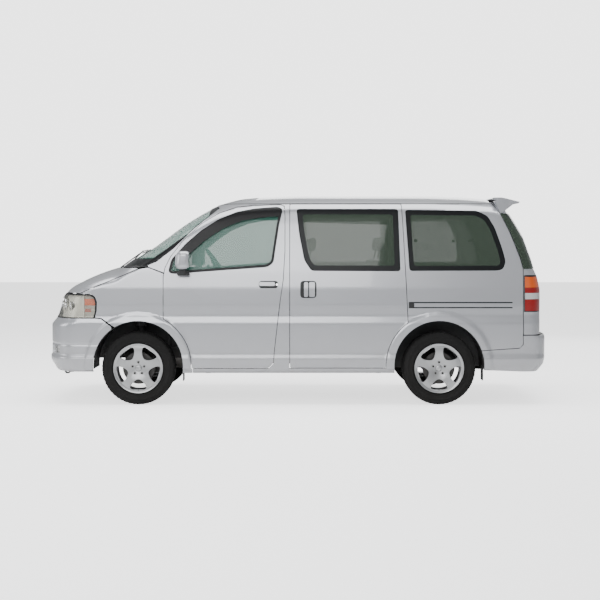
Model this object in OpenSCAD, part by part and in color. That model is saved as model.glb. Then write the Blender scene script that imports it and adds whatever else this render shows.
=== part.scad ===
/* [Overall size] */
// Distance between the front and rear axles
wheelbase = 2840; // [2600:10:3450]
// From the front axle to the tip of the front bumper
front_overhang = 912; // [850:1:1100]
// From the rear axle to the back of the rear bumper
rear_overhang = 1062; // [900:1:1280]
// Width over the widest part of the sills
body_width = 1792; // [1700:1:2160]
// Height of the roof above the ground
body_height = 1995; // [1800:1:2400]

/* [Wheels] */
// Outer diameter of a tyre
tyre_d = 690; // [620:1:720]
// Width of a tyre
tyre_w = 215; // [185:1:235]
// Diameter of the rim at the bead seat
rim_d = 438; // [380:1:450]
// Distance between the middles of the left and right tyres
track = 1560; // [1520:1:1900]
// Radius of a wheel spindle
spindle_r = 30; // [24:1:36]
// Number of spokes in a wheel
spokes = 5; // [4:1:8]

/* [Panels] */
// Thickness of a door below its window
door_t = 70; // [50:1:90]
// Thickness of a door round its window
frame_t = 30; // [20:1:34]
// Thickness of the side panels and pillars
side_t = 60; // [40:1:80]
// Thickness of the roof, bonnet and wings
skin_t = 26; // [16:1:34]
// Thickness of the bumpers
bumper_t = 30; // [20:1:50]
// Thickness of a pane of glass
glass_t = 5; // [4:0.5:8]
// Shut line round the doors, bonnet and tailgate
shut_gap = 6; // [5:0.5:9]
// Space between the tyre and the wheel arch
arch_gap = 80; // [70:1:100]
// Width of the flared band round a wheel arch
flare_w = 80; // [60:1:90]

/* [Mounts] */
// Radius of the hole in the towing eye
tow_eye_r = 16; // [12:0.5:20]
// Radius of the holes for a tow bar
tow_bar_hole_r = 6.5; // [5:0.25:9]
// Distance between the tow bar holes along the rails
tow_bar_pitch_x = 150; // [100:5:200]

/* [Hidden] */
$fn = 48;

// Drawn size: outlines below are drawn at this size and stretched to the sizes above
drawn_wheelbase = 2840;
drawn_front = 912;
drawn_rear = 1062;
drawn_width = 1792;
drawn_height = 1995;
drawn_front_axle = -1495;
drawn_rear_axle = 1345;

length = front_overhang + wheelbase + rear_overhang;
front_axle_x = -length / 2 + front_overhang;
rear_axle_x = front_axle_x + wheelbase;
ky = body_width / drawn_width;
kz = body_height / drawn_height;
axle_z = tyre_d / 2;
wheel_y = track / 2;
arch_r = tyre_d / 2 + arch_gap;
arch_z = axle_z + 25;
seat_gap = 0.3;
fit_gap = 0.05;

// Half width of the body at each drawn height
half_widths = [
    [300, 868], [330, 888], [441, 896], [475, 884], [620, 888], [776, 890], [836, 874], [950, 878],
    [1100, 872], [1262, 852], [1500, 812], [1700, 772], [1850, 738], [1903, 722], [2000, 700]
];
// Front end of the body at each drawn height
nose = [
    [300, -2340], [409, -2407], [750, -2407], [804, -2360], [860, -2339], [916, -2320], [973, -2310],
    [1030, -2292], [1060, -2269]
];
// Rear end of the body at each drawn height
tail = [
    [660, 2358], [1085, 2358], [1200, 2335], [1280, 2300], [1365, 2276], [1584, 2199], [1718, 2125],
    [1824, 2060], [1960, 1965]
];
// Rear end of the rear bumper at each drawn height
bumper_tail = [[300, 2330], [380, 2395], [440, 2407], [640, 2407], [660, 2395]];
// Middle of the bonnet, windscreen and roof at each drawn station
top_line = [
    [-2300, 1035], [-2269, 1053], [-2209, 1103], [-2150, 1132], [-2031, 1192], [-1912, 1241],
    [-1793, 1281], [-1697, 1304], [-1614, 1370], [-1495, 1430], [-1376, 1509], [-1257, 1598],
    [-1138, 1688], [-1019, 1767], [-900, 1836], [-781, 1900], [-662, 1936], [-543, 1965],
    [-305, 1985], [-8, 1995], [1242, 1995], [1599, 1985], [1837, 1968], [1965, 1950]
];
// Depth of the rounded top of the section at each drawn station
crown_depths = [[-2300, 80], [-2100, 140], [-1600, 170], [-1200, 200], [-500, 180], [1965, 180]];

front_corner = 350;
front_power = 2.6;
rear_corner = 180;
rear_power = 3;
crown_power = 2.5;

// Drawn station or height to real millimetres
function real_x(x) =
    x < drawn_front_axle ? front_axle_x + (x - drawn_front_axle) * front_overhang / drawn_front
    : x > drawn_rear_axle ? rear_axle_x + (x - drawn_rear_axle) * rear_overhang / drawn_rear
    : front_axle_x + (x - drawn_front_axle) * wheelbase / drawn_wheelbase;
function real_y(y) = y * ky;
function real_z(z) = z * kz;
function real_xz(points) = [for (p = points) [real_x(p[0]), real_z(p[1])]];

// Share of the full width that is left at distance s into a rounded corner
function corner_share(s, power) = s >= 1 ? 1 : pow(max(0, 1 - pow(1 - max(0, s), power)), 1 / power);
function front_share(x, z) = corner_share((x - lookup(z, nose)) / front_corner, front_power);
// The side panels stop at the tailgate, so the share has a floor there
function rear_share(x, z) = max(0.5, corner_share((lookup(z, tail) - x) / rear_corner, rear_power));
function plan_half_width(x, z) = lookup(z, half_widths) * front_share(x, z) * rear_share(x, z);

// Heights of the ledges up the side; the section's rows 0 to 7 lie on them
ledges = [301, 330, 441, 475, 620, 776, 836, 950];
side_row = len(ledges) - 1;
crown_row = side_row + 1;
top_row = crown_row + 1;
function crown_z(x) = lookup(x, top_line) - lookup(x, crown_depths);
// Height on the section at station x: up the ledges, on to the crown, then over the top
function section_z(x, row) =
    row <= side_row ? ledges[floor(row)]
    : row <= crown_row ? ledges[side_row] + (row - side_row) * (crown_z(x) - ledges[side_row])
    : crown_z(x) + lookup(x, crown_depths) * pow(sin(90 * (row - crown_row)), 2 / crown_power);
function section_y(x, row) =
    plan_half_width(x, section_z(x, row))
    * (row <= crown_row ? 1 : pow(max(0, cos(90 * (row - crown_row))), 2 / crown_power));
// A point of the body's skin on the left, sunk by t towards the inside
function skin_point(x, row, t) =
    let (lean = 90 * max(0, row - crown_row))
    [
        real_x(x),
        -max(0, real_y(section_y(x, row)) - t * cos(lean)),
        real_z(section_z(x, row)) - t * sin(lean)
    ];
// Rows of a grid from the sill, or from part of the way over the crown, up to a last row
function rows_to(last) = [
    for (i = [0:side_row]) i,
    for (i = [1:5]) side_row + i / 5,
    for (i = [1:6]) crown_row + (last - crown_row) * i / 6
];
function rows_between(first, last, n) = [for (i = [0:n]) first + (last - first) * i / n];

// Triangles of a slab between two grids of points
function grid_faces(n, m, base, flip) = [
    for (i = [0:n - 2]) for (j = [0:m - 2])
        let (a = base + i * m + j, b = a + 1, c = a + m, d = c + 1)
        each flip ? [[a, c, b], [b, c, d]] : [[a, b, c], [b, d, c]]
];
function rim_faces(n, m) =
    let (k = n * m)
    [
        for (i = [0:n - 2]) each [
            [i * m, (i + 1) * m, i * m + k], [(i + 1) * m, (i + 1) * m + k, i * m + k],
            [i * m + m - 1, i * m + m - 1 + k, (i + 1) * m + m - 1],
            [(i + 1) * m + m - 1, i * m + m - 1 + k, (i + 1) * m + m - 1 + k]
        ],
        for (j = [0:m - 2]) each [
            [j, j + k, j + 1], [j + 1, j + k, j + 1 + k],
            [(n - 1) * m + j, (n - 1) * m + j + 1, (n - 1) * m + j + k],
            [(n - 1) * m + j + 1, (n - 1) * m + j + 1 + k, (n - 1) * m + j + k]
        ]
    ];
module slab(outer, inner) {
    n = len(outer);
    m = len(outer[0]);
    polyhedron(
        points = [for (row = outer) each row, for (row = inner) each row],
        faces = [each grid_faces(n, m, 0, false), each grid_faces(n, m, n * m, true), each rim_faces(n, m)]
    );
}

// A curved slab of the left side between two stations, over the given rows of the section
module skin(x0, x1, rows, depth, t, nx) {
    xs = [for (i = [0:nx]) x0 + (x1 - x0) * i / nx];
    slab(
        [for (x = xs) [for (row = rows) skin_point(x, row, depth)]],
        [for (x = xs) [for (row = rows) skin_point(x, row, depth + t)]]
    );
}

// A side outline drawn in x and z, pushed through the body from y0 to y1
module through(y0, y1) {
    translate([0, y1, 0]) rotate([90, 0, 0]) linear_extrude(height = y1 - y0) children();
}
module both_sides() {
    children();
    mirror([0, 1, 0]) children();
}

function crown_share(x, z) =
    let (s = (z - crown_z(x)) / lookup(x, crown_depths))
    s <= 0 ? 1 : pow(max(0, 1 - pow(min(1, s), crown_power)), 1 / crown_power);

// Points round the front end at height z: s runs 0 to 1 round the corner, and 1 to 2 along the side
function front_ring_point(s, z, side_end, depth) =
    let (
        a = abs(s),
        tip = lookup(z, nose),
        x = a <= 1 ? tip + front_corner * (1 - pow(cos(90 * a), 2 / front_power))
            : tip + front_corner + (a - 1) * (side_end - tip - front_corner),
        share = a <= 1 ? pow(sin(90 * a), 2 / front_power) : 1,
        y = real_y(lookup(z, half_widths) * crown_share(x, z)) - depth
    )
    [real_x(x) + depth * (a <= 1 ? cos(90 * a) : 0), sign(s) * y * share, real_z(z)];
function rear_ring_point(s, z, side_end, profile, depth) =
    let (
        a = abs(s),
        tip = lookup(z, profile),
        x = a <= 1 ? tip - rear_corner * (1 - pow(cos(90 * a), 2 / rear_power))
            : tip - rear_corner + (a - 1) * (side_end - tip + rear_corner),
        share = a <= 1 ? pow(sin(90 * a), 2 / rear_power) : 1,
        y = real_y(lookup(z, half_widths) * crown_share(min(x, 1965), z)) - depth
    )
    [real_x(x) - depth * (a <= 1 ? cos(90 * a) : 0), sign(s) * y * share, real_z(z)];

// Steps round an end of the body, closer together in the corners
ring_steps = [-2, -1.5, -1, -0.85, -0.65, -0.4, -0.2, -0.08, 0, 0.08, 0.2, 0.4, 0.65, 0.85, 1, 1.5, 2];
module front_ring(heights, side_end, depth, t) {
    slab(
        [for (z = heights) [for (s = ring_steps) front_ring_point(s, z, side_end, depth)]],
        [for (z = heights) [for (s = ring_steps) front_ring_point(s, z, side_end, depth + t)]]
    );
}
module rear_ring(heights, side_end, profile, depth, t) {
    slab(
        [for (z = heights) [for (s = [for (i = ring_steps) -i]) rear_ring_point(s, z, side_end, profile, depth)]],
        [for (z = heights) [for (s = [for (i = ring_steps) -i]) rear_ring_point(s, z, side_end, profile, depth + t)]]
    );
}
// A curved slab right across the body between two stations, from a row on the left to the same on the right
module skin_across(x0, x1, first_row, depth, t, nx, n) {
    xs = [for (i = [0:nx]) x0 + (x1 - x0) * i / nx];
    rows = rows_between(first_row, top_row, n);
    slab(
        [for (x = xs) full_row([for (row = rows) skin_point(x, row, depth)])],
        [for (x = xs) full_row([for (row = rows) skin_point(x, row, depth + t)])]
    );
}
function full_row(row) = [
    each row,
    for (j = [len(row) - 2:-1:0]) [row[j][0], -row[j][1], row[j][2]]
];

// Outlines in the side view
module front_door_outline() {
    difference() {
        polygon(real_xz([
            [-1254, 1213], [-1237, 1297], [-1186, 1398], [-1069, 1549], [-901, 1708], [-733, 1810],
            [-566, 1868], [-398, 1885], [-163, 1893], [-120, 1876], [-113, 1784], [-113, 1448],
            [-129, 1180], [-163, 945], [-188, 727], [-213, 508], [-222, 391], [-263, 349],
            [-1254, 349]
        ]));
        translate([front_axle_x, arch_z]) circle(r = arch_r + flare_w);
    }
}
module front_window_outline() {
    polygon(real_xz([
        [-1195, 1264], [-1171, 1250], [-280, 1314], [-231, 1349], [-180, 1700], [-147, 1842],
        [-180, 1859], [-398, 1842], [-566, 1810], [-733, 1742], [-901, 1633], [-1036, 1515],
        [-1171, 1364]
    ]));
}
module sliding_door_outline() {
    difference() {
        polygon(real_xz([[-62, 1897], [992, 1897], [997, 1800], [1047, 794], [1047, 352], [-62, 352]]));
        translate([rear_axle_x, arch_z]) circle(r = arch_r + flare_w);
    }
}
module middle_window_outline() {
    polygon(real_xz([
        [-3, 1851], [23, 1616], [72, 1364], [139, 1264], [980, 1261], [963, 1851]
    ]));
}
module quarter_window_outline() {
    polygon(real_xz([
        [1028, 1842], [1711, 1834], [1811, 1784], [1878, 1668], [1946, 1465], [1974, 1349],
        [1946, 1280], [1893, 1267], [1064, 1264]
    ]));
}
// Side edge of the windscreen, moved out by a gap
function windscreen_edge(gap) = [
    for (p = [[-1404, 1316], [-1322, 1349], [-1171, 1465], [-1002, 1633], [-738, 1863], [-800, 1903]])
        p[1] < 1860 ? [p[0] - gap, p[1] + gap] : [p[0] - 2 * gap, p[1]]
];
// The whole side behind the wing, from the sill to the roof seam
module side_outline() {
    difference() {
        polygon(real_xz([
            [-1397, 1303], each windscreen_edge(0), [1866, 1903], [1930, 1803], [2012, 1633], [2060, 1509], [2108, 1378],
            [2132, 1287], [2132, 573], [2108, 540], [1752, 516], [1345, 500], [1345, 301],
            [-980, 301], [-980, 355], [-700, 400], [-700, 1100], [-1200, 1215], [-1254, 1250]
        ]));
        translate([rear_axle_x, arch_z]) circle(r = arch_r);
    }
}
module wing_outline() {
    difference() {
        polygon(real_xz([
            [-1896, 826], [-1896, 845], [-1883, 885], [-1880, 970], [-1897, 1022], [-1936, 1048],
            [-2042, 1050], [-1493, 1279], [-1404, 1294], [-1262, 1241], [-1230, 1200],
            [-985, 600], [-985, 301], [-1650, 301], [-1650, 700], [-1735, 750], [-1840, 822]
        ]));
        translate([front_axle_x, arch_z]) circle(r = arch_r);
        offset(delta = shut_gap) front_door_outline();
    }
}

module side_skin(t) {
    skin(-1420, 2140, rows_to(crown_row + 0.85), 0, t, 34);
}
// A side panel: the doors and windows are cut out of one skin
module side_panel(has_sliding_door) {
    intersection() {
        side_skin(side_t);
        through(-real_y(950), 0) difference() {
            side_outline();
            offset(delta = shut_gap) front_door_outline();
            if (has_sliding_door) offset(delta = shut_gap) sliding_door_outline();
            if (!has_sliding_door) middle_window_outline();
            quarter_window_outline();
        }
    }
}
module left_side_panel() {
    color("silver") side_panel(true);
}
module right_side_panel() {
    color("silver") mirror([0, 1, 0]) side_panel(false);
}
module roof_panel() {
    color("silver") {
        intersection() {
            skin_across(-815, 1862, crown_row + 0.2, 0, skin_t, 16, 8);
            through(-real_y(950), real_y(950)) polygon(real_xz([
                [-799, 1903 + seat_gap], [1864, 1903 + seat_gap], [1854, 1927], [1852, 2020],
                [-799, 2020]
            ]));
        }
        both_sides() translate([real_x(1846), 300, real_z(hinge_z) - 4])
            cube([real_x(hinge_x) - real_x(1846), 60, 4]);
        both_sides() across(real_x(hinge_x), 300, 360, real_z(hinge_z), hinge_r);
    }
}
module windscreen() {
    color("darkseagreen") intersection() {
        skin_across(-1735, -760, crown_row, 2, glass_t, 14, 9);
        through(-real_y(950), real_y(950))
            polygon(real_xz([
                [-1800, 1316 + seat_gap], each windscreen_edge(2 * seat_gap), [-1800, 1903]
            ]));
    }
}
// The bonnet ends in a square edge where the skin reaches the cowl's height
bonnet_top = 1290;
function contour_y(x) = real_y(plan_half_width(x, bonnet_top) * crown_share(x, bonnet_top));
module bonnet_plan() {
    stations = [for (i = [0:24]) -1757 + 257 * i / 24];
    polygon([
        [real_x(-2500), real_y(950)], [real_x(-2500), -real_y(950)], [real_x(-1500), -real_y(950)],
        for (i = [24:-1:1]) [real_x(stations[i]), -contour_y(stations[i])],
        for (x = stations) [real_x(x), contour_y(x)],
        [real_x(-1500), real_y(950)]
    ]);
}
module bonnet() {
    color("silver") intersection() {
        skin_across(-2262, -1495, crown_row, 0, skin_t, 14, 9);
        through(-real_y(950), real_y(950))
            polygon(real_xz([
                [-2400, 1056], [-2044, 1056], [-1498, 1285], [-1510, bonnet_top + 20], [-2400, bonnet_top + 20]
            ]));
        linear_extrude(height = real_z(2000)) bonnet_plan();
    }
}
door_hinge_x = -1254;
door_hinge_y = 876;
module front_wings() {
    color("silver") both_sides() {
        intersection() {
            skin(-2100, -960, rows_to(crown_row + 0.6), 0, skin_t, 18);
            through(-real_y(950), 0) wing_outline();
        }
        for (z = [880, 1040]) door_hinge(z);
    }
}
// Hinge pin in the shut line, held by a tab behind the wing's edge
module door_hinge(z) {
    x = real_x(door_hinge_x) - shut_gap / 2;
    translate([x, -real_y(door_hinge_y), real_z(z)]) cylinder(h = 60, r = shut_gap / 2 - seat_gap);
    translate([x - shut_gap / 2 - 2, -real_y(door_hinge_y), real_z(z)]) cube([shut_gap / 2 + 2, 24, 60]);
}
module front_door() {
    difference() {
        intersection() {
            union() {
                skin(-1262, -90, [each rows_between(0, side_row, side_row), side_row + 0.3], 0, door_t, 14);
                skin(-1262, -90, [side_row + 0.3, side_row + 0.6, each rows_between(crown_row, crown_row + 0.62, 6)], 0, frame_t, 14);
            }
            through(-real_y(950), 0) front_door_outline();
        }
        through(-real_y(950), 0) front_window_outline();
    }
}
module left_front_door() {
    color("silver") {
        front_door();
        door_mirror();
    }
}
module right_front_door() {
    color("silver") mirror([0, 1, 0]) {
        front_door();
        door_mirror();
    }
}
// Mirror head on a foot that grows out of the door below the window's front corner
module door_mirror() {
    skin_y = real_y(845);
    translate([real_x(-1064) - 50, -skin_y - 95, real_z(1206)]) cube([100, 100, 40]);
    translate([real_x(-1064) - 30, -skin_y - 95, real_z(1230)]) cube([60, 30, 90]);
    translate([real_x(-1064), -skin_y - 80, real_z(1367)]) rotate([90, 0, 0])
        linear_extrude(height = 135) mirror_outline();
}
module mirror_outline() {
    hull() for (x = [-40, 40], z = [-58, 58]) translate([x, z]) circle(r = 26);
}
module door_window(outline_y) {
    color("darkseagreen") intersection() {
        skin(-1230, -120, rows_between(side_row, crown_row + 0.62, 12), 8, glass_t, 12);
        through(-real_y(950), 0) offset(delta = -seat_gap) front_window_outline();
    }
}
module left_door_window() {
    door_window();
}
module right_door_window() {
    mirror([0, 1, 0]) door_window();
}
module sliding_door() {
    color("silver") {
        intersection() {
            skin(-70, 1055, rows_to(crown_row + 0.3), 0, side_t, 10);
            through(-real_y(950), 0) difference() {
                sliding_door_outline();
                middle_window_outline();
            }
        }
        for (z = [560, 1120]) door_guide(z);
    }
}
// Guide block on the sliding door's front edge, which meets the centre pillar
module door_guide(z) {
    translate([real_x(-62) - shut_gap + seat_gap, -real_y(850), real_z(z)]) cube([shut_gap + 4, 24, 40]);
}
module pane(x0, x1) {
    intersection() {
        skin(x0, x1, rows_between(side_row, crown_row + 0.3, 10), 8, glass_t, 8);
        through(-real_y(950), 0) offset(delta = -seat_gap) children();
    }
}
module sliding_door_window() {
    color("darkseagreen") pane(-10, 990) middle_window_outline();
}
module side_windows() {
    color("darkseagreen") {
        pane(1020, 1985) quarter_window_outline();
        mirror([0, 1, 0]) pane(1020, 1985) quarter_window_outline();
        mirror([0, 1, 0]) pane(-10, 990) middle_window_outline();
    }
}

// Front end
grille_half = 330;
module front_bumper() {
    color("silver") difference() {
        intersection() {
            front_ring([314, 380, 409, 440, 475, 560, 650, 750, 780, 804, 817], -1740, 0, bumper_t);
            through(-real_y(950), real_y(950)) difference() {
                polygon(real_xz([
                    [-2500, 315], [-1900, 315], [-1740, 330], [-1745, 738], [-1845, 811], [-1902, 815],
                    [-2500, 815]
                ]));
                translate([front_axle_x, arch_z]) circle(r = arch_r);
            }
        }
        translate([real_x(-2420), -real_y(480), real_z(432)]) cube([200, real_y(960), real_z(120)]);
    }
}
module radiator_grille() {
    color("dimgray") difference() {
        intersection() {
            front_ring([812, 860, 916, 973, 1030, 1048], -1900, 4, 30);
            translate([real_x(-2420), -real_y(grille_half), real_z(815) + seat_gap])
                cube([300, real_y(2 * grille_half), real_z(229)]);
        }
        for (z = [850, 900, 950, 1000])
            translate([real_x(-2420), -real_y(grille_half - 22), real_z(z)])
                cube([200, real_y(2 * grille_half - 44), real_z(30)]);
    }
}
module headlamps() {
    color("lightgray") both_sides() intersection() {
        front_ring([812, 860, 916, 973, 1030, 1048], -1870, 0, 70);
        through(-real_y(950), -real_y(grille_half + 12))
            polygon(real_xz([
                [-2500, 815 + seat_gap], [-1906, 815 + seat_gap], [-1903, 842], [-1891, 885], [-1888, 967], [-1903, 1014],
                [-1940, 1041], [-2059, 1044], [-2500, 1044]
            ]));
    }
}

// Rear end
module rear_bumper() {
    color("silver") {
        intersection() {
            rear_ring([315, 350, 380, 440, 475, 560, 640, 655], 1735, bumper_tail, 0, bumper_t);
            through(-real_y(950), real_y(950)) difference() {
                polygon(real_xz([
                    [1735, 330], [1735, 509], [2104, 533], [2138, 570], [2138, 655], [2500, 655],
                    [2500, 330], [2300, 315], [2126, 315]
                ]));
                translate([rear_axle_x, arch_z]) circle(r = arch_r);
            }
        }
        intersection() {
            rear_ring([625, 655], 2100, bumper_tail, 0, 90);
            translate([real_x(2200), -real_y(700), 0]) cube([400, real_y(1400), 2000]);
        }
    }
}
module tail_prism() {
    through(-real_y(950), real_y(950)) polygon(real_xz([
        [1864, 1925], [1872, 1911], [1937, 1803], [2019, 1636], [2067, 1511], [2115, 1380],
        [2139, 1288], [2139, 664], [2500, 664], [2500, 1960], [1864, 1960]
    ]));
}
tail_heights = [664, 760, 880, 1085, 1200, 1280, 1365, 1480, 1584, 1718, 1824, 1880, 1925];
rear_window_half = 700;
module rear_window_shape() {
    translate([real_x(1900), 0, real_z(1550)]) rotate([90, 0, 90]) linear_extrude(height = 600)
        polygon([
            [-real_y(770), -real_z(273)], [real_y(770), -real_z(273)],
            [real_y(640), real_z(270)], [-real_y(640), real_z(270)]
        ]);
}
module tail_lamp_shape() {
    through(-real_y(950), -real_y(690))
        polygon(real_xz([[2142, 878], [2142, 1225], [2270, 1225], [2420, 1180], [2420, 878]]));
}
module tailgate() {
    color("silver") difference() {
        intersection() {
            rear_ring(tail_heights, 1850, tail, 0, side_t);
            tail_prism();
        }
        spoiler_prism(real_y(641));
        rear_window_shape();
        both_sides() tail_lamp_shape();
    }
}
module rear_window() {
    color("darkslategray") intersection() {
        rear_ring(tail_heights, 1850, tail, 6, glass_t);
        rear_window_shape();
        tail_prism();
    }
}
module tail_lamps() {
    color("firebrick") both_sides() intersection() {
        rear_ring([870, 1085, 1200, 1235], 2100, tail, 0, 45);
        tail_lamp_shape();
    }
}
// Spoiler over the top of the tailgate
module spoiler_prism(half) {
    through(-half, half) polygon(real_xz([
        [1873, 1945], [1873, 1962], [1960, 1964], [2130, 1922], [2126, 1906], [2060, 1899]
    ]));
}
hinge_x = 1864;
hinge_z = 1955;
hinge_r = 3;
module rear_spoiler() {
    color("silver") {
        spoiler_prism(real_y(640));
        both_sides() translate([real_x(hinge_x) + hinge_r + seat_gap, 310, real_z(hinge_z) - 3])
            cube([real_x(1873) - real_x(hinge_x) - hinge_r + 1, 40, 6]);
    }
}

// Underbody
floor_z = 500;
floor_t = 20;
rail_y = 400;
rail_w = 66;
rail_h = 90;
rail_z = floor_z - rail_h;
liner_inner_y = 516;
liner_outer_y = real_y(866);
rear_box_y = 556;
beam_x = -2330;
support_x = -2262 + 767 * 4 / 14;
tow_eye_x = -2240;
tow_eye_z = 285;
boss_half = 20;
spare_x = rear_axle_x + 195 + tyre_d / 2;
rear_member_x = spare_x + tyre_d / 2 + 6;
king_y = wheel_y - 70;
kingpin_x = front_axle_x;
strut_y = king_y - 110;
arm_z = axle_z - 150;
arm_t = 30;
knuckle_top = axle_z + 125;
barrel_r = rim_d / 2 - 14;
bead_half = tyre_w / 2 - 26;
hub_r = 62;
disc_r = 115;
disc_y = wheel_y - 30;
spindle_end = wheel_y + 53;

module box_at(x0, x1, y0, y1, z0, z1) {
    translate([x0, y0, z0]) cube([x1 - x0, y1 - y0, z1 - z0]);
}
module across(x, y0, y1, z, r) {
    translate([x, y0, z]) rotate([-90, 0, 0]) cylinder(h = y1 - y0, r = r);
}
// A round bar between two points
module rod(a, b, r) {
    d = b - a;
    h = norm(d);
    translate(a) rotate([0, acos(d[2] / h), atan2(d[1], d[0])]) cylinder(h = h, r = r);
}

// Points of a circle round p, square to the direction d
function tube_ring(p, d, r, sides) =
    let (u = cross(d, [0, 0, 1]) / norm(cross(d, [0, 0, 1])), v = cross(d, u) / norm(d))
    [for (i = [0:sides - 1]) p + r * (cos(360 * i / sides) * u + sin(360 * i / sides) * v)];
// A closed tube that follows a line of bends
module bent_tube(bends, r, sides) {
    last = len(bends) - 1;
    points = [
        for (i = [0:last]) each tube_ring(bends[i], bends[min(i + 1, last)] - bends[max(i - 1, 0)], r, sides)
    ];
    polyhedron(points, [
        [for (j = [0:sides - 1]) j],
        for (i = [0:last - 1]) for (j = [0:sides - 1]) each
            let (a = i * sides + j, b = i * sides + (j + 1) % sides)
            [[a, a + sides, b], [b, a + sides, b + sides]],
        [for (j = [sides - 1:-1:0]) last * sides + j]
    ]);
}

module floor_pan() {
    color("dimgray") translate([0, 0, floor_z]) linear_extrude(height = floor_t) difference() {
        polygon([
            [real_x(-1240), -liner_inner_y], [front_axle_x + arch_r + 4, -liner_inner_y],
            [front_axle_x + arch_r + 4, -real_y(800)], [real_x(2110), -real_y(800)],
            [real_x(2270), -real_y(700)], [real_x(2270), real_y(700)], [real_x(2110), real_y(800)],
            [front_axle_x + arch_r + 4, real_y(800)], [front_axle_x + arch_r + 4, liner_inner_y],
            [real_x(-1240), liner_inner_y]
        ]);
        for (side = [-1, 1])
            translate([rear_axle_x, side * (rear_box_y + 300)]) square([2 * arch_r + 2, 600], center = true);
    }
}
module chassis_rails() {
    color("dimgray") difference() {
        for (side = [-1, 1])
            translate([real_x(-2290), side * (rail_y + rail_w / 2) - rail_w / 2, rail_z])
                cube([rear_member_x + 60 - real_x(-2290), rail_w, rail_h]);
        for (side = [-1, 1], x = tow_bar_holes())
            translate([x, side * (rail_y + rail_w / 2), rail_z - 1])
                cylinder(h = rail_h + 2, r = tow_bar_hole_r);
    }
}
// Beams between and on the rails, with what they carry
module crossmembers() {
    color("dimgray") {
        box_at(real_x(beam_x), real_x(-2280), -rail_y - rail_w, rail_y + rail_w, floor_z, real_z(640));
        box_at(real_x(-2377) + 4 * seat_gap, real_x(beam_x) + 1, -boss_half, boss_half, real_z(565), real_z(630));
        for (x = [real_x(-900), real_x(830)]) box_at(x, x + 60, -rail_y, rail_y, floor_z - 60, floor_z);
        box_at(rear_member_x, rear_member_x + 60, -rail_y, rail_y, rail_z, floor_z);
        box_at(rear_member_x + 59, real_x(2377) - seat_gap, -50, 50, real_z(445), floor_z);
        both_sides() radiator_support();
        both_sides() for (x = [real_x(-880), real_x(740)]) outrigger(x);
        towing_eye_plate();
    }
}
function tow_bar_holes() = [rear_member_x + 30 - tow_bar_pitch_x, rear_member_x + 30];
module towing_eye_plate() {
    y = -rail_y - rail_w / 2;
    difference() {
        union() {
            across(real_x(tow_eye_x), y - 7, y + 7, tow_eye_z, tow_eye_r + 16);
            box_at(real_x(tow_eye_x), real_x(tow_eye_x) + 60, y - 7, y + 7, tow_eye_z - tow_eye_r, rail_z);
        }
        across(real_x(tow_eye_x), y - 8, y + 8, tow_eye_z, tow_eye_r);
    }
}
module radiator_support() {
    tip = skin_point(support_x, crown_row + 5 / 9, skin_t);
    box_at(tip[0] - 12, tip[0] + 12, -rail_y - rail_w, -rail_y, floor_z, tip[2] - 40);
    box_at(tip[0] - 12, tip[0] + 12, tip[1] - 12, -rail_y, tip[2] - 60, tip[2] - 40);
    translate([tip[0], tip[1], tip[2] - 41]) cylinder(h = 40.5, r1 = 10, r2 = 1);
}
module outrigger(x) {
    box_at(x, x + 80, -real_y(870) + side_t + seat_gap, -rail_y - rail_w, 303, rail_z + 20);
    translate([x + 40, -real_y(870) + side_t + 60, 290]) cylinder(h = 20, r = 30);
}
module firewall() {
    color("dimgray") {
        box_at(real_x(-1250), real_x(-1230), -liner_inner_y, liner_inner_y, floor_z + floor_t, real_z(800));
        box_at(real_x(-1250), real_x(-1230), -real_y(780), real_y(780), real_z(799), real_z(1282));
        box_at(real_x(-1480), real_x(-1231), -real_y(780), real_y(780), real_z(1262), real_z(1282));
        cowl();
    }
}
module cowl() {
    intersection() {
        skin_across(-1770, -1390, crown_row, 0, skin_t, 8, 9);
        through(-real_y(950), real_y(950))
            polygon(real_xz([[-1800, 1297], [-1510, 1297], [-1400, 1304], [-1404, 1316], [-1800, 1316]]));
    }
    both_sides() box_at(real_x(-1480), real_x(-1440), 600, real_y(760), real_z(1280), real_z(1300));
}
module arch_liner(x, inner, closed) {
    intersection() {
        union() {
            difference() {
                across(x, -liner_outer_y, -inner, arch_z, arch_r - seat_gap);
                across(x, -liner_outer_y - 1, -inner + 1, arch_z, arch_r - 6);
            }
            if (closed) difference() {
                across(x, -inner - 6, -inner, arch_z, arch_r - seat_gap);
                across(x, -inner - 7, -inner + 1, axle_z, 60);
            }
        }
        if (!closed) difference() {
            box_at(x - arch_r, x + arch_r, -liner_outer_y - 1, 0, 340, arch_z + arch_r);
            translate([x, -strut_y, 0]) cylinder(h = 2000, r = 66);
        }
        box_at(x - arch_r, x + arch_r, -liner_outer_y - 1, 0, 340, arch_z + arch_r);
    }
}
module arch_liners() {
    color("black") both_sides() {
        arch_liner(front_axle_x, liner_inner_y, false);
        arch_liner(rear_axle_x, rear_box_y, true);
        mud_flap(front_axle_x + arch_r - 2, 220, 360);
        mud_flap(rear_axle_x + arch_r - 2, 225, 420);
    }
}
module mud_flap(x, z0, z1) {
    box_at(x - 6, x, -wheel_y - 45, -wheel_y + 90, z0, z1);
}

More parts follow.
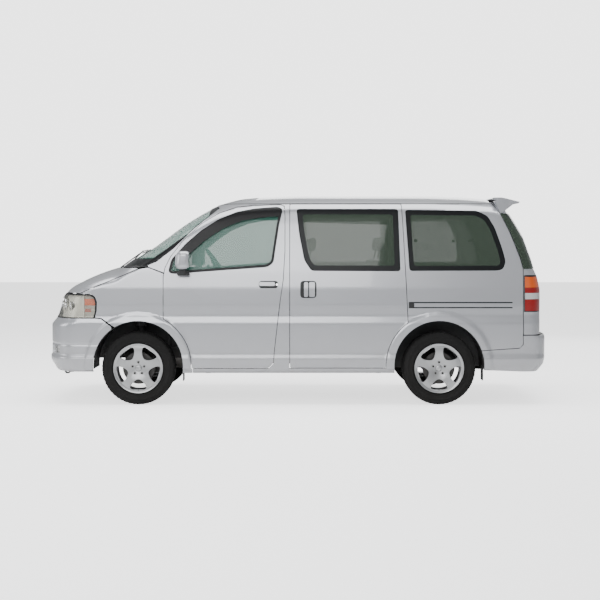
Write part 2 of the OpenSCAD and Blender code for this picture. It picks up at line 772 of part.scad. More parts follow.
// Running gear: the axles stand level, with the wheels on the ground
module front_suspension() {
    color("dimgray") {
        difference() {
            box_at(front_axle_x - 65, front_axle_x + 65, -rail_y + seat_gap, rail_y - seat_gap, arm_z, 430);
            box_at(front_axle_x - 66, front_axle_x + 66, -260, 260, arm_z - 1, 330);
        }
        both_sides() {
            box_at(front_axle_x - 30, front_axle_x + 30, -king_y - 20, -300, arm_z, arm_z + arm_t);
            translate([front_axle_x, -strut_y, knuckle_top + seat_gap]) cylinder(h = 560, r = 28);
            translate([front_axle_x, -strut_y, knuckle_top + 260]) cylinder(h = 200, r = 62);
            box_at(front_axle_x - 50, front_axle_x + 50, -strut_y - 30, -rail_y - rail_w / 2,
                knuckle_top + 520, knuckle_top + 560);
            box_at(front_axle_x - 50, front_axle_x + 50, -rail_y - rail_w, -rail_y, floor_z,
                knuckle_top + 560);
        }
        box_at(front_axle_x - 110, front_axle_x - 64, -330, 330, 360, 400);
    }
}
module knuckle() {
    across(kingpin_x, -spindle_end, -king_y, axle_z, spindle_r);
    box_at(kingpin_x - 24, kingpin_x + 24, -king_y - 18, -king_y + 18, arm_z + arm_t + seat_gap, knuckle_top);
    box_at(kingpin_x - 20, kingpin_x + 20, -king_y, -strut_y + 16, knuckle_top - 30, knuckle_top);
    across(kingpin_x, -king_y - 18, -king_y + 20, axle_z, 56);
}
module left_knuckle() {
    color("gray") knuckle();
}
module right_knuckle() {
    color("gray") mirror([0, 1, 0]) knuckle();
}
module rear_axle() {
    color("dimgray") {
        across(rear_axle_x, -spindle_end, spindle_end, axle_z, spindle_r);
        across(rear_axle_x, -king_y - 18, king_y + 18, axle_z, 44);
        across(rear_axle_x, -90, 110, axle_z, 120);
        both_sides() {
            box_at(rear_axle_x - 520, rear_axle_x + 20, -rail_y - rail_w, -rail_y, axle_z - 30, axle_z + 20);
            box_at(rear_axle_x - 520, rear_axle_x - 460, -rail_y - rail_w, -rail_y, axle_z - 30,
                rail_z - seat_gap);
            translate([rear_axle_x, -rail_y - rail_w / 2, axle_z]) cylinder(h = rail_z - axle_z - seat_gap, r = 55);
            translate([rear_axle_x + 20, -rail_y - rail_w - 45, axle_z]) cylinder(h = floor_z - axle_z - seat_gap, r = 22);
        }
    }
}
module tyre(side, x) {
    h = tyre_w / 2;
    r = tyre_d / 2;
    b = rim_d / 2;
    color([0.08, 0.08, 0.08]) translate([x, side * wheel_y, axle_z]) rotate([90, 0, 0]) rotate_extrude($fn = 96)
        polygon([
            [b + 1, -bead_half], [b + 15.5, -bead_half - 4], [b + 24, -bead_half - 14], [b + 52, -h + 3],
            [b + 70, -h], [r - 30, -h + 5], [r - 12, -h + 14], [r - 3, -h + 30], [r, -h + 60],
            [r, h - 60], [r - 3, h - 30], [r - 12, h - 14], [r - 30, h - 5], [b + 70, h],
            [b + 52, h - 3], [b + 24, bead_half + 14], [b + 15.5, bead_half + 4], [b + 1, bead_half]
        ]);
}
module rim(side, x) {
    lip = bead_half + 4.5;
    b = rim_d / 2;
    color("gainsboro") translate([x, 0, axle_z]) mirror([0, side > 0 ? 1 : 0, 0])
        translate([0, -wheel_y, 0]) rotate([90, 0, 0]) {
            rotate_extrude($fn = 96) polygon([
                [barrel_r, -lip - 7], [b + 15, -lip - 7], [b + 15, -lip], [b + 0.6, -lip], [b + 0.6, lip],
                [b + 15, lip], [b + 15, lip + 7], [barrel_r, lip + 7]
            ]);
            difference() {
                translate([0, 0, 34]) cylinder(h = 22, r = barrel_r + 2, $fn = 96);
                for (i = [0:spokes - 1]) rotate([0, 0, 90 + 180 / spokes + i * 360 / spokes]) spoke_gap();
                translate([0, 0, 20]) cylinder(h = 34, r = spindle_r + fit_gap);
            }
            difference() {
                translate([0, 0, disc_y - wheel_y]) cylinder(h = 66, r = hub_r);
                translate([0, 0, disc_y - wheel_y - 1]) cylinder(h = 85, r = spindle_r + fit_gap);
            }
            difference() {
                translate([0, 0, disc_y - wheel_y]) cylinder(h = 12, r = disc_r);
                translate([0, 0, disc_y - wheel_y - 1]) cylinder(h = 14, r = spindle_r + fit_gap);
            }
            translate([0, 0, spindle_end - wheel_y + 0.5]) cylinder(h = 10, r = 34);
        }
}
module spoke_gap() {
    translate([0, 0, 33]) linear_extrude(height = 24)
        polygon([
            [hub_r + 26, -14], [hub_r + 26, 14], [barrel_r - 22, 74], [barrel_r - 8, 50], [barrel_r - 4, 0],
            [barrel_r - 8, -50], [barrel_r - 22, -74]
        ]);
}
module front_left_tyre() {
    tyre(-1, front_axle_x);
}
module front_right_tyre() {
    tyre(1, front_axle_x);
}
module rear_left_tyre() {
    tyre(-1, rear_axle_x);
}
module rear_right_tyre() {
    tyre(1, rear_axle_x);
}
module front_left_rim() {
    rim(-1, front_axle_x);
}
module front_right_rim() {
    rim(1, front_axle_x);
}
module rear_left_rim() {
    rim(-1, rear_axle_x);
}
module rear_right_rim() {
    rim(1, rear_axle_x);
}

// Drive train, tank and exhaust
engine_z = 430 + seat_gap;
shaft_z = axle_z;
module engine() {
    color("gray") {
        box_at(real_x(-1960), real_x(-1420), -210, 210, engine_z, real_z(980));
        box_at(real_x(-2280) + seat_gap, real_x(-2240), -325, 325, 500, real_z(900));
    }
}
module propeller_shaft() {
    color("gray") {
        across_x(real_x(-1420) + seat_gap, real_x(-1120), 0, 385, 110);
        across_x(real_x(-1121), real_x(-930), 0, 385, 70);
        across_x(real_x(-931), rear_axle_x - 120 - seat_gap, 0, shaft_z, 34);
    }
}
module across_x(x0, x1, y, z, r) {
    translate([x0, y, z]) rotate([0, 90, 0]) cylinder(h = x1 - x0, r = r);
}
module fuel_tank() {
    color("black") box_at(real_x(0), real_x(640), -rail_y + 12, -70, 270, floor_z - seat_gap);
}
module exhaust() {
    silencer_x = real_x(380);
    bends = [
        [real_x(-1300), 250, 300], [real_x(-900), 230, 300], [silencer_x, 230, 390],
        [silencer_x + 420, 230, 390], [rear_axle_x - 30, 300, 440], [rear_axle_x + 60, 300, 440],
        [rear_axle_x + 200, 374, 372], [real_x(2120), 374, 360], [real_x(2310), 374, 286]
    ];
    color("slategray") {
        bent_tube(bends, 22, 12);
        across_x(silencer_x, silencer_x + 420, 230, 390, 84);
        box_at(silencer_x + 160, silencer_x + 200, 230, rail_y - seat_gap, 430, 460);
        box_at(real_x(2060), real_x(2090), 366, 430, 350, rail_z - seat_gap);
    }
}
module spare_wheel() {
    color([0.08, 0.08, 0.08]) translate([spare_x, 0, 0]) {
        translate([0, 0, floor_z - 222]) rotate_extrude($fn = 96) polygon([
            [rim_d / 2, 26], [rim_d / 2 + 52, 6], [tyre_d / 2 - 30, 6], [tyre_d / 2 - 3, 30],
            [tyre_d / 2, 60], [tyre_d / 2, 150], [tyre_d / 2 - 3, 180], [tyre_d / 2 - 30, 204],
            [rim_d / 2 + 52, 204], [rim_d / 2, 184]
        ]);
        translate([0, 0, floor_z - 180]) cylinder(h = 14, r = rim_d / 2 + 1);
        translate([0, 0, floor_z - 180]) cylinder(h = 180 - seat_gap, r = 16);
    }
}

// Cabin
wheel_x = -830;
wheel_side_y = 380;
wheel_height = 1314;
column_tilt = 36;
column_r = 12;
steering_r = 190;
module on_column() {
    translate([real_x(wheel_x), wheel_side_y, real_z(wheel_height)]) rotate([0, -90 - column_tilt, 0]) children();
}
module steering_wheel() {
    color("dimgray") on_column() {
        rotate_extrude($fn = 64) translate([steering_r - 15, 0]) circle(r = 15, $fn = 24);
        translate([0, 0, -14]) cylinder(h = 50, r = 62);
        for (a = [0, 115, 245]) rotate([0, 0, a]) translate([40, -18, -6]) cube([steering_r - 50, 36, 14]);
        cylinder(h = 240, r = column_r);
    }
}
module dashboard() {
    color("dimgray") {
        difference() {
            through(-real_y(765), real_y(765)) polygon(real_xz([
                [-1230 + seat_gap, 880], [-980, 880], [-930, 1060], [-960, 1220], [-1040, 1276],
                [-1230 + seat_gap, 1276]
            ]));
            on_column() cylinder(h = 420, r = column_r + fit_gap);
        }
        on_column() difference() {
            translate([0, 0, 70]) cylinder(h = 150, r = 44);
            cylinder(h = 420, r = column_r + fit_gap);
        }
    }
}
// A seat: base, cushion, leaning back and head restraint, between y0 and y1
module seat(x, y0, y1, cushion_z, heads) {
    box_at(x + 60, x + 440, y0 + 50, y1 - 50, floor_z + floor_t, cushion_z - 110);
    box_at(x, x + 500, y0, y1, cushion_z - 110, cushion_z + 40);
    through_between(y0 + 10, y1 - 10) polygon([
        [x + 440, cushion_z + 39], [x + 560, cushion_z + 39], [x + 700, cushion_z + 575],
        [x + 620, cushion_z + 600], [x + 580, cushion_z + 560]
    ]);
    for (h = heads) {
        box_at(x + 630, x + 715, h - 125, h + 125, cushion_z + 610, cushion_z + 755);
        for (p = [-50, 50]) translate([x + 665, h + p, cushion_z + 560]) cylinder(h = 60, r = 6);
    }
}
module through_between(y0, y1) {
    translate([0, y1, 0]) rotate([90, 0, 0]) linear_extrude(height = y1 - y0) children();
}
cushion_z = 830;
third_row_drop = 190;
module front_seats() {
    color("slategray") for (side = [-1, 1])
        seat(real_x(-520), side * 380 - 250, side * 380 + 250, cushion_z, [side * 380]);
}
module rear_seats() {
    color("slategray") {
        seat(real_x(150), -620, 620, cushion_z, [-380, 380]);
        seat(real_x(1130), -530, 530, cushion_z - third_row_drop, []);
    }
}

// Wipers: an arm from the cowl and a blade that lies just over the glass
module windscreen_wipers() {
    color("black") for (y = [-470, 130]) {
        foot = glass_top(-1705, y) + [0, 0, 9];
        elbow = glass_top(-1500, y + 60) + [0, 0, 32];
        rod(foot, elbow, 6);
        rod(glass_top(-1545, y - 210) + [0, 0, 22], elbow, 5);
        rod(elbow, glass_top(-1480, y + 300) + [0, 0, 22], 5);
        translate(elbow) sphere(r = 9);
        translate(foot) sphere(r = 8);
    }
}
// A point on the top skin above a drawn station and a distance across
function glass_top(x, y) =
    let (
        half = real_y(plan_half_width(x, crown_z(x) + 60)),
        s = pow(max(0, 1 - pow(min(1, abs(y) / half), crown_power)), 1 / crown_power)
    )
    [real_x(x), y, real_z(crown_z(x) + lookup(x, crown_depths) * s)];

floor_pan();
chassis_rails();
crossmembers();
left_side_panel();
right_side_panel();
roof_panel();
firewall();
front_wings();
arch_liners();
front_bumper();
rear_bumper();
radiator_grille();
headlamps();
windscreen();
side_windows();
sliding_door();
sliding_door_window();
front_seats();
rear_seats();
dashboard();
engine();
propeller_shaft();
rear_axle();
front_suspension();
fuel_tank();
exhaust();
spare_wheel();
windscreen_wipers();
left_front_door();
left_door_window();
right_front_door();
right_door_window();
tailgate();
rear_window();
rear_spoiler();
tail_lamps();
bonnet();
left_knuckle();
right_knuckle();
front_left_tyre();
front_left_rim();
front_right_tyre();
front_right_rim();
rear_left_tyre();
rear_left_rim();
rear_right_tyre();
rear_right_rim();
steering_wheel();
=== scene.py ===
from math import atan2, copysign, cos, exp, hypot, pi, radians, sin, tau

import bmesh
import bpy
from bmesh import ops
from mathutils import Matrix, Vector


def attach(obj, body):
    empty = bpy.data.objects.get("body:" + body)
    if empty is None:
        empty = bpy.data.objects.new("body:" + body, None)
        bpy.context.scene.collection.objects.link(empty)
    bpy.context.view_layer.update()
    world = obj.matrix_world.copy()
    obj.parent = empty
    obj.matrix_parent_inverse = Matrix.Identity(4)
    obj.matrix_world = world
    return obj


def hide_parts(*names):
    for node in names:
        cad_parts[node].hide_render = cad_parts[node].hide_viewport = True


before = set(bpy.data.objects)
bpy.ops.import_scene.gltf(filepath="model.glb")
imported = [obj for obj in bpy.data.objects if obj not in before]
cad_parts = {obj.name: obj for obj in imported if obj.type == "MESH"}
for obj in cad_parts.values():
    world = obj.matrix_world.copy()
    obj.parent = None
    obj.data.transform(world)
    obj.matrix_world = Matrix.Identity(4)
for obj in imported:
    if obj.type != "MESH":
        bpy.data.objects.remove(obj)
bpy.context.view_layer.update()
MM = 0.001


def feed(tree, node, inputs):
    """Sets a node's inputs to values, or links them to other nodes' sockets."""
    for label, value in inputs.items():
        if isinstance(value, bpy.types.NodeSocket):
            tree.links.new(value, node.inputs[label])
        else:
            node.inputs[label].default_value = value


def wired(tree, kind, inputs, **settings):
    """A new shader node with its settings made and its inputs fed."""
    node = tree.nodes.new("ShaderNode" + kind)
    for label, value in settings.items():
        setattr(node, label, value)
    feed(tree, node, inputs)
    return node


# -------- camera, light and floor
eye = Vector((0.032, -12.9, 1.5))
look_at = Vector((0.032, -0.9, 0.992))
camera_data = bpy.data.cameras.new("camera")
camera_data.lens = 76.7
camera_data.sensor_width = 36
camera = bpy.data.objects.new("camera", camera_data)
camera.location = eye
camera.rotation_euler = (look_at - eye).to_track_quat("-Z", "Y").to_euler()
bpy.context.scene.collection.objects.link(camera)
bpy.context.scene.camera = camera


def soft_light(name, place, target, size, power):
    data = bpy.data.lights.new(name, "AREA")
    data.shape = "RECTANGLE"
    data.size, data.size_y = size
    data.energy = power
    light = bpy.data.objects.new(name, data)
    light.location = place
    light.rotation_euler = (Vector(target) - Vector(place)).to_track_quat("-Z", "Y").to_euler()
    bpy.context.scene.collection.objects.link(light)


soft_light("overhead_softbox", (0, -0.5, 6.5), (0, 0, 0.8), (9, 5), 560)
soft_light("near_side_softbox", (-2.5, -8.5, 4.2), (0, 0, 0.9), (8, 3), 320)
soft_light("far_side_softbox", (2.5, 8, 4), (0, 0, 1), (7, 3), 190)
soft_light("nose_softbox", (-8.5, -2, 3), (-2, 0, 0.9), (4, 3), 120)
world = bpy.data.worlds.new("studio")
world.use_nodes = True
studio = world.node_tree
backdrop = studio.nodes["Background"]
feed(studio, backdrop, {"Color": (0.93, 0.95, 0.97, 1), "Strength": 0.42})
bright = wired(studio, "Background", {"Color": (1, 1, 1, 1), "Strength": 3.2})
chosen = wired(studio, "MixShader", {"Fac": wired(studio, "LightPath",
    {}).outputs["Is Camera Ray"], 1: backdrop.outputs[0], 2: bright.outputs[0]})
feed(studio, studio.nodes["World Output"], {"Surface": chosen.outputs[0]})
bpy.context.scene.world = world

# -------- body surface, in millimetres
front_axle_x = -1495
rear_axle_x = 1345
axle_z = 345
arch_z = 370
arch_r = 425
flare_w = 80
flare_out = 11
shut_gap = 6
gasket_w = 14

# Half width of the body at each height
half_widths = [
    (300, 868), (330, 888), (441, 896), (475, 884), (620, 888), (776, 890), (836, 874), (950, 878),
    (1100, 872), (1262, 852), (1500, 812), (1700, 772), (1850, 738), (1903, 722), (2000, 700),
]
# Front and rear end of the body at each height
nose = [
    (300, -2340), (409, -2407), (750, -2407), (804, -2360), (860, -2339), (916, -2320), (973, -2310),
    (1030, -2292), (1060, -2269),
]
tail = [
    (660, 2358), (1085, 2358), (1200, 2335), (1280, 2300), (1365, 2276), (1584, 2199), (1718, 2125),
    (1824, 2060), (1960, 1965),
]
bumper_tail = [(300, 2330), (380, 2395), (440, 2407), (640, 2407), (660, 2395)]
# Middle of the bonnet, windscreen and roof at each station
top_line = [
    (-2300, 1035), (-2269, 1053), (-2209, 1103), (-2150, 1132), (-2031, 1192), (-1912, 1241),
    (-1793, 1281), (-1697, 1304), (-1614, 1370), (-1495, 1430), (-1376, 1509), (-1257, 1598),
    (-1138, 1688), (-1019, 1767), (-900, 1836), (-781, 1900), (-662, 1936), (-543, 1965),
    (-305, 1985), (-8, 1995), (1242, 1995), (1599, 1985), (1837, 1968), (1965, 1950),
]
crown_depths = [(-2300, 80), (-2100, 140), (-1600, 170), (-1200, 200), (-500, 180), (1965, 180)]
ledges = [301, 330, 441, 475, 620, 776, 836, 950]
SIDE_ROW = len(ledges) - 1
CROWN_ROW = SIDE_ROW + 1
TOP_ROW = CROWN_ROW + 1
door_top_row, slide_top_row, border_top_row = CROWN_ROW + 0.62, CROWN_ROW + 0.3, CROWN_ROW + 0.32
window_corner = 30
bumper_end, lamp_end, tail_end = -1740, -1870, 1850
front_corner, front_power = 350, 2.6
rear_corner, rear_power = 180, 3
crown_power = 2.5


def lookup(x, table):
    """Straight-line value of a table of pairs, held at its ends."""
    if x <= table[0][0]:
        return table[0][1]
    for (a, p), (b, q) in zip(table, table[1:]):
        if x <= b:
            return p + (q - p) * (x - a) / (b - a)
    return table[-1][1]


def eased(x, table, reach):
    """The table's value averaged over a short reach, so that its corners are rounded."""
    return sum(lookup(x + reach * k / 3, table) for k in range(-3, 4)) / 7


def smooth_step(t):
    t = min(1, max(0, t))
    return t * t * (3 - 2 * t)


def corner_share(s, power):
    return 1 if s >= 1 else max(0, 1 - (1 - max(0, s)) ** power) ** (1 / power)


def flare(x, z):
    """How far the wheel arch's lip band stands out from the body side."""
    r = min(hypot(x - axle, z - arch_z) for axle in (front_axle_x, rear_axle_x))
    return flare_out * (1 - smooth_step((r - arch_r - flare_w + 14) / 14)) if z > ledges[1] else 0


def crown_z(x):
    return eased(x, top_line, 45) - lookup(x, crown_depths)


def half_width_at(x, z):
    front = corner_share((x - eased(z, nose, 12)) / front_corner, front_power)
    rear = max(0.5, corner_share((eased(z, tail, 12) - x) / rear_corner, rear_power))
    return eased(z, half_widths, 7) * front * rear


def skin_point(x, row, depth):
    """A point of the left side or the top, counted in rows from the sill to the middle line."""
    lean = radians(90 * max(0, row - CROWN_ROW))
    if row <= SIDE_ROW:
        k = min(int(row), SIDE_ROW - 1)
        z = ledges[k] + (row - k) * (ledges[k + 1] - ledges[k])
    elif row <= CROWN_ROW:
        z = ledges[-1] + (row - SIDE_ROW) * (crown_z(x) - ledges[-1])
    else:
        z = crown_z(x) + lookup(x, crown_depths) * sin(lean) ** (2 / crown_power)
    y = half_width_at(x, z) * (max(0, cos(lean)) ** (2 / crown_power) if lean > 0 else 1)
    y += flare(x, z) if depth < 40 else 0
    return Vector((x, -max(0, y - depth * cos(lean)), z - depth * sin(lean))) * MM


def crown_share(x, z):
    s = (z - crown_z(x)) / lookup(x, crown_depths)
    return 1 if s <= 0 else max(0, 1 - min(1, s) ** crown_power) ** (1 / crown_power)


def ring_point(s, z, tip, side_end, corner, power, depth):
    """A point round an end of the body: s runs 0 to 1 round the corner and 1 to 2 along the side."""
    a = abs(s)
    way = 1 if side_end > tip else -1
    turn = radians(90 * min(a, 1))
    if a <= 1:
        x = tip + way * corner * (1 - max(0, cos(turn)) ** (2 / power))
    else:
        x = tip + way * corner + (a - 1) * (side_end - tip - way * corner)
    share = max(0, sin(turn)) ** (2 / power)
    y = eased(z, half_widths, 7) * crown_share(min(x, 1965), z) - depth + (flare(x, z) if depth < 40 else 0)
    x += way * depth * (cos(turn) if a <= 1 else 0)
    return Vector((x, copysign(y * share, s), z)) * MM


def lip(z):
    """How far the chin stands out below the front bumper, and how deep its groove is."""
    groove = smooth_step((z - 556) / 10) - smooth_step((z - 572) / 10)
    return 11 * (1 - smooth_step((z - 446) / 22)) - 5 * groove


def front_point(side_end):
    return lambda s, z, depth: ring_point(s, z, eased(z, nose, 12), side_end, front_corner, front_power,
        depth - (lip(z) if depth < 40 else 0))


def rear_point(side_end, profile):
    return lambda s, z, depth: ring_point(s, z, eased(z, profile, 12), side_end, rear_corner, rear_power,
        depth)


# -------- mesh helpers
def spread(*stops):
    """Values through (first, last, count) runs, without repeats."""
    values = []
    for a, b, n in stops:
        values += [a + (b - a) * i / n for i in range(n + 1) if not (values and i == 0)]
    return values


def new_piece(name, bm, materials, body="body", slot=None, node=None, smooth_angle=35):
    """Turns a bmesh into a piece that rides on a body and may stand for a CAD node."""
    for edge in bm.edges:
        edge.smooth = len(edge.link_faces) == 2 and edge.calc_face_angle(0) < radians(smooth_angle)
    for face in bm.faces:
        face.smooth = True
    mesh = bpy.data.meshes.new(name)
    bm.to_mesh(mesh)
    bm.free()
    piece = bpy.data.objects.new(name, mesh)
    bpy.context.scene.collection.objects.link(piece)
    materials = materials if isinstance(materials, list) else [materials]
    for material in materials:
        mesh.materials.append(material)
    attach(piece, body)
    slot or usual_slot[materials[0].name]
    if node:
        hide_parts(node)
    return piece


def cleaned(bm, dist=1e-5):
    ops.remove_doubles(bm, verts=bm.verts[:], dist=dist)
    ops.recalc_face_normals(bm, faces=bm.faces[:])
    return bm


def curved_slab(us, vs, point, depth, thickness):
    """A grid laid on a surface and thickened inwards. Its inner faces get material 1."""
    bm = bmesh.new()
    ops.create_grid(bm, x_segments=len(us) - 1, y_segments=len(vs) - 1, size=1)
    made = ops.extrude_face_region(bm, geom=bm.faces[:], use_keep_orig=True)["geom"]
    ops.translate(bm, verts=[g for g in made if isinstance(g, bmesh.types.BMVert)], vec=(0, 0, 1))
    for face in bm.faces:
        face.material_index = 1 if all(v.co.z > 0.5 for v in face.verts) else 0
    for v in bm.verts:
        i = round((v.co.x + 1) / 2 * (len(us) - 1))
        j = round((v.co.y + 1) / 2 * (len(vs) - 1))
        v.co = point(us[i], vs[j], depth + v.co.z * thickness)
    return cleaned(bm)


def prism(outline, y0=-1000, y1=0):
    """A side-view outline in x and z, pushed across the body from y0 to y1."""
    bm = bmesh.new()
    face = bm.faces.new([bm.verts.new((x * MM, y0 * MM, z * MM)) for x, z in outline])
    made = ops.extrude_face_region(bm, geom=[face], use_keep_orig=True)["geom"]
    ops.translate(bm, verts=[g for g in made if isinstance(g, bmesh.types.BMVert)], vec=(0,
        (y1 - y0) * MM, 0))
    ops.recalc_face_normals(bm, faces=bm.faces[:])
    return bm


def disc(x, z, r, y0=-1000, y1=0, segments=128):
    """A round bar across the body."""
    bm = bmesh.new()
    ops.create_cone(bm, cap_ends=True, segments=segments, radius1=r * MM, radius2=r * MM,
        depth=abs(y1 - y0) * MM, matrix=Matrix.Translation(Vector((x, (y0 + y1) / 2,
        z)) * MM) @ Matrix.Rotation(pi / 2, 4, "X"))
    return bm


def block(x0, x1, y0, y1, z0, z1, bevel=0, segments=3):
    """A box between corners, with rounded edges."""
    bm = bmesh.new()
    size = Vector((x1 - x0, y1 - y0, z1 - z0)) * MM
    centre = Vector((x0 + x1, y0 + y1, z0 + z1)) * (MM / 2)
    ops.create_cube(bm, size=1, matrix=Matrix.Translation(centre) @ Matrix.Diagonal((*size, 1)))
    if bevel:
        ops.bevel(bm, geom=bm.edges[:], offset=bevel * MM, affect="EDGES", segments=segments,
            profile=0.5, material=-1)
    return bm


def as_object(bm):
    mesh = bpy.data.meshes.new("cutter")
    bm.to_mesh(mesh)
    bm.free()
    made = bpy.data.objects.new("cutter", mesh)
    bpy.context.scene.collection.objects.link(made)
    return made


def applied(thing):
    """The mesh of an object as its modifiers leave it."""
    bpy.context.view_layer.update()
    return bpy.data.meshes.new_from_object(thing.evaluated_get(bpy.context.evaluated_depsgraph_get()))


def carve(bm, operation, *cutters):
    """The bmesh after a boolean with each cutter in turn: DIFFERENCE, INTERSECT or UNION."""
    target = as_object(bm)
    for cutter in cutters:
        tool = as_object(cutter)
        step = target.modifiers.new("step", "BOOLEAN")
        step.operation, step.object, step.solver = operation, tool, "EXACT"
        result = applied(target)
        target.modifiers.clear()
        target.data = result
        bpy.data.objects.remove(tool)
    bm = bmesh.new()
    bm.from_mesh(target.data)
    bpy.data.objects.remove(target)
    return bm


def cut(bm, *cutters):
    return carve(bm, "DIFFERENCE", *cutters)


def common(bm, *cutters):
    return carve(bm, "INTERSECT", *cutters)


def grown(outline, gap):
    """The outline with its sides moved out by a gap, or in where the gap is below 0."""
    area = sum(a[0] * b[1] - b[0] * a[1] for a, b in zip(outline, outline[1:] + outline[:1]))
    sign = 1 if area > 0 else -1
    out = []
    for k, p in enumerate(outline):
        before = Vector(p) - Vector(outline[k - 1])
        after = Vector(outline[(k + 1) % len(outline)]) - Vector(p)
        n1 = Vector((before.y, -before.x)).normalized() * sign
        n2 = Vector((after.y, -after.x)).normalized() * sign
        q = Vector(p) + (n1 + n2) * gap / (1 + n1.dot(n2))
        out.append((q.x, q.y))
    return out


def rounded(outline, radius, steps=5):
    """The outline with each corner turned into a short curve."""
    out = []
    for k, p in enumerate(outline):
        p = Vector(p)
        a, b = Vector(outline[k - 1]) - p, Vector(outline[(k + 1) % len(outline)]) - p
        reach_a, reach_b = min(radius, a.length * 0.45), min(radius, b.length * 0.45)
        start, end = p + a.normalized() * reach_a, p + b.normalized() * reach_b
        for i in range(steps + 1):
            t = i / steps
            q = start * (1 - t) ** 2 + p * 2 * t * (1 - t) + end * t * t
            out.append((q.x, q.y))
    return out


def mirrored(bm):
    """A copy of a left-hand bmesh for the right-hand side."""
    copy = bm.copy()
    ops.scale(copy, vec=(1, -1, 1), verts=copy.verts[:])
    ops.reverse_faces(copy, faces=copy.faces[:])
    return copy


def joined(*parts):
    """One bmesh out of several."""
    whole = bmesh.new()
    for part in parts:
        mesh = bpy.data.meshes.new("part")
        part.to_mesh(mesh)
        part.free()
        whole.from_mesh(mesh)
        bpy.data.meshes.remove(mesh)
    return whole


def both_sides(bm):
    return joined(mirrored(bm), bm)


def on_both_doors(name, bm, materials, node="", **rest):
    """A left-hand shape as a piece of each front door."""
    for side, part in (("right", mirrored(bm)), ("left", bm)):
        new_piece(f"{side}_{name}", part, materials, f"{side}_front_door", node=node and f"{side}_{node}",
            **rest)


# -------- shared effects, as node groups
def new_group(name, inputs, outputs):
    """A node group, with its incoming sockets and the node that feeds its outputs."""
    group = bpy.data.node_groups.new(name, "ShaderNodeTree")
    sockets = [("INPUT", label) for label in inputs] + [("OUTPUT", label) for label in outputs]
    for way, label in sockets:
        kind = "NodeSocketColor" if label == "Color" else "NodeSocketFloat"
        socket = group.interface.new_socket(name=label, in_out=way, socket_type=kind)
        if way == "INPUT":
            socket.default_value = inputs[label]
    return group, group.nodes.new("NodeGroupInput").outputs, group.nodes.new("NodeGroupOutput")


def maths(tree, operation, a, b, use_clamp=False):
    return wired(tree, "Math", {0: a, 1: b}, operation=operation, use_clamp=use_clamp).outputs[0]


def noise(tree, where, scale, detail):
    return wired(tree, "TexNoise", {"Vector": where, "Scale": scale, "Detail": detail}).outputs["Fac"]


def uneven_finish():
    """Colour and roughness that drift a little over the surface, and a fine grain for bump."""
    group, given, out = new_group("uneven_finish", {"Color": (0.5, 0.5, 0.5, 1), "Roughness": 0.5,
        "Drift": 0.1, "Patch Scale": 3.0, "Grain Scale": 400.0, }, ("Color", "Roughness", "Grain"))
    where = wired(group, "TexCoord", {}).outputs["Object"]
    patches = noise(group, where, given["Patch Scale"], 4)
    grain = noise(group, where, given["Grain Scale"], 2)
    drift = maths(group, "MULTIPLY", maths(group, "SUBTRACT", patches, 0.5), given["Drift"])
    tint = wired(group, "VectorMath", {0: given["Color"]}, operation="SCALE")
    feed(group, tint, {"Scale": maths(group, "ADD", drift, 1)})
    rough = maths(group, "ADD", given["Roughness"], drift, True)
    feed(group, out, {"Color": tint.outputs[0], "Roughness": rough, "Grain": grain})
    return group


def road_dust():
    """A thin film of dust that is thickest low down and breaks up in patches."""
    group, given, out = new_group("road_dust", {"Color": (0.5, 0.5, 0.5, 1), "Roughness": 0.3,
        "Top Height": 0.7, "Amount": 0.3, }, ("Color", "Roughness", "Dust"))
    where = wired(group, "TexCoord", {}).outputs["Object"]
    height = wired(group, "SeparateXYZ", {0: where}).outputs["Z"]
    low = wired(group, "MapRange", {"Value": height, "From Min": given["Top Height"], "From Max": 0.15})
    film = maths(group, "MULTIPLY", low.outputs["Result"], noise(group, where, 9, 6))
    amount = maths(group, "MULTIPLY", film, given["Amount"], True)
    tint = wired(group, "Mix", {"Factor": amount, "A": given["Color"], "B": (0.34, 0.31, 0.27, 1)},
        data_type="RGBA")
    rough = wired(group, "Mix", {"Factor": amount, "A": given["Roughness"], "B": 0.85})
    feed(group, out, {"Color": tint.outputs["Result"], "Roughness": rough.outputs["Result"], "Dust": amount})
    return group


UNEVEN = uneven_finish()
DUST = road_dust()


def finish(name, color, roughness, metallic=0.0, drift=0.12, patch=3.0, grain=400.0, bump=0.05,
           dust=0.0, dust_top=0.75, **plain):
    """A procedural material: an uneven finish, a film of dust, and a fine grain as bump."""
    material = bpy.data.materials.new(name)
    material.use_nodes = True
    tree = material.node_tree
    base = wired(tree, "Group", {"Color": (*color, 1), "Roughness": roughness, "Drift": drift,
        "Patch Scale": patch, "Grain Scale": grain}, node_tree=UNEVEN).outputs
    film = wired(tree, "Group", {"Color": base["Color"], "Roughness": base["Roughness"],
        "Top Height": dust_top, "Amount": dust}, node_tree=DUST).outputs
    relief = wired(tree, "Bump", {"Strength": bump, "Distance": 0.001, "Height": base["Grain"]})
    feed(tree, tree.nodes["Principled BSDF"], {"Base Color": film["Color"], "Roughness": film["Roughness"],
        "Metallic": metallic, "Normal": relief.outputs["Normal"], **{label.replace("_",
        " ").title().replace("Ior", "IOR"): value for label, value in plain.items()}})
    return material


def ribbed(material, scale, depth, direction="X"):
    """Adds fine ribs across the material's surface, as in a lens or a woven cloth."""
    tree = material.node_tree
    shader = tree.nodes["Principled BSDF"]
    ribs = wired(tree, "TexWave", {"Vector": wired(tree, "TexCoord", {}).outputs["Object"], "Scale": scale},
        bands_direction=direction)
    relief = wired(tree, "Bump", {"Strength": depth, "Distance": 0.002, "Height": ribs.outputs["Fac"],
        "Normal": shader.inputs["Normal"].links[0].from_socket})
    feed(tree, shader, {"Normal": relief.outputs["Normal"]})
    return material


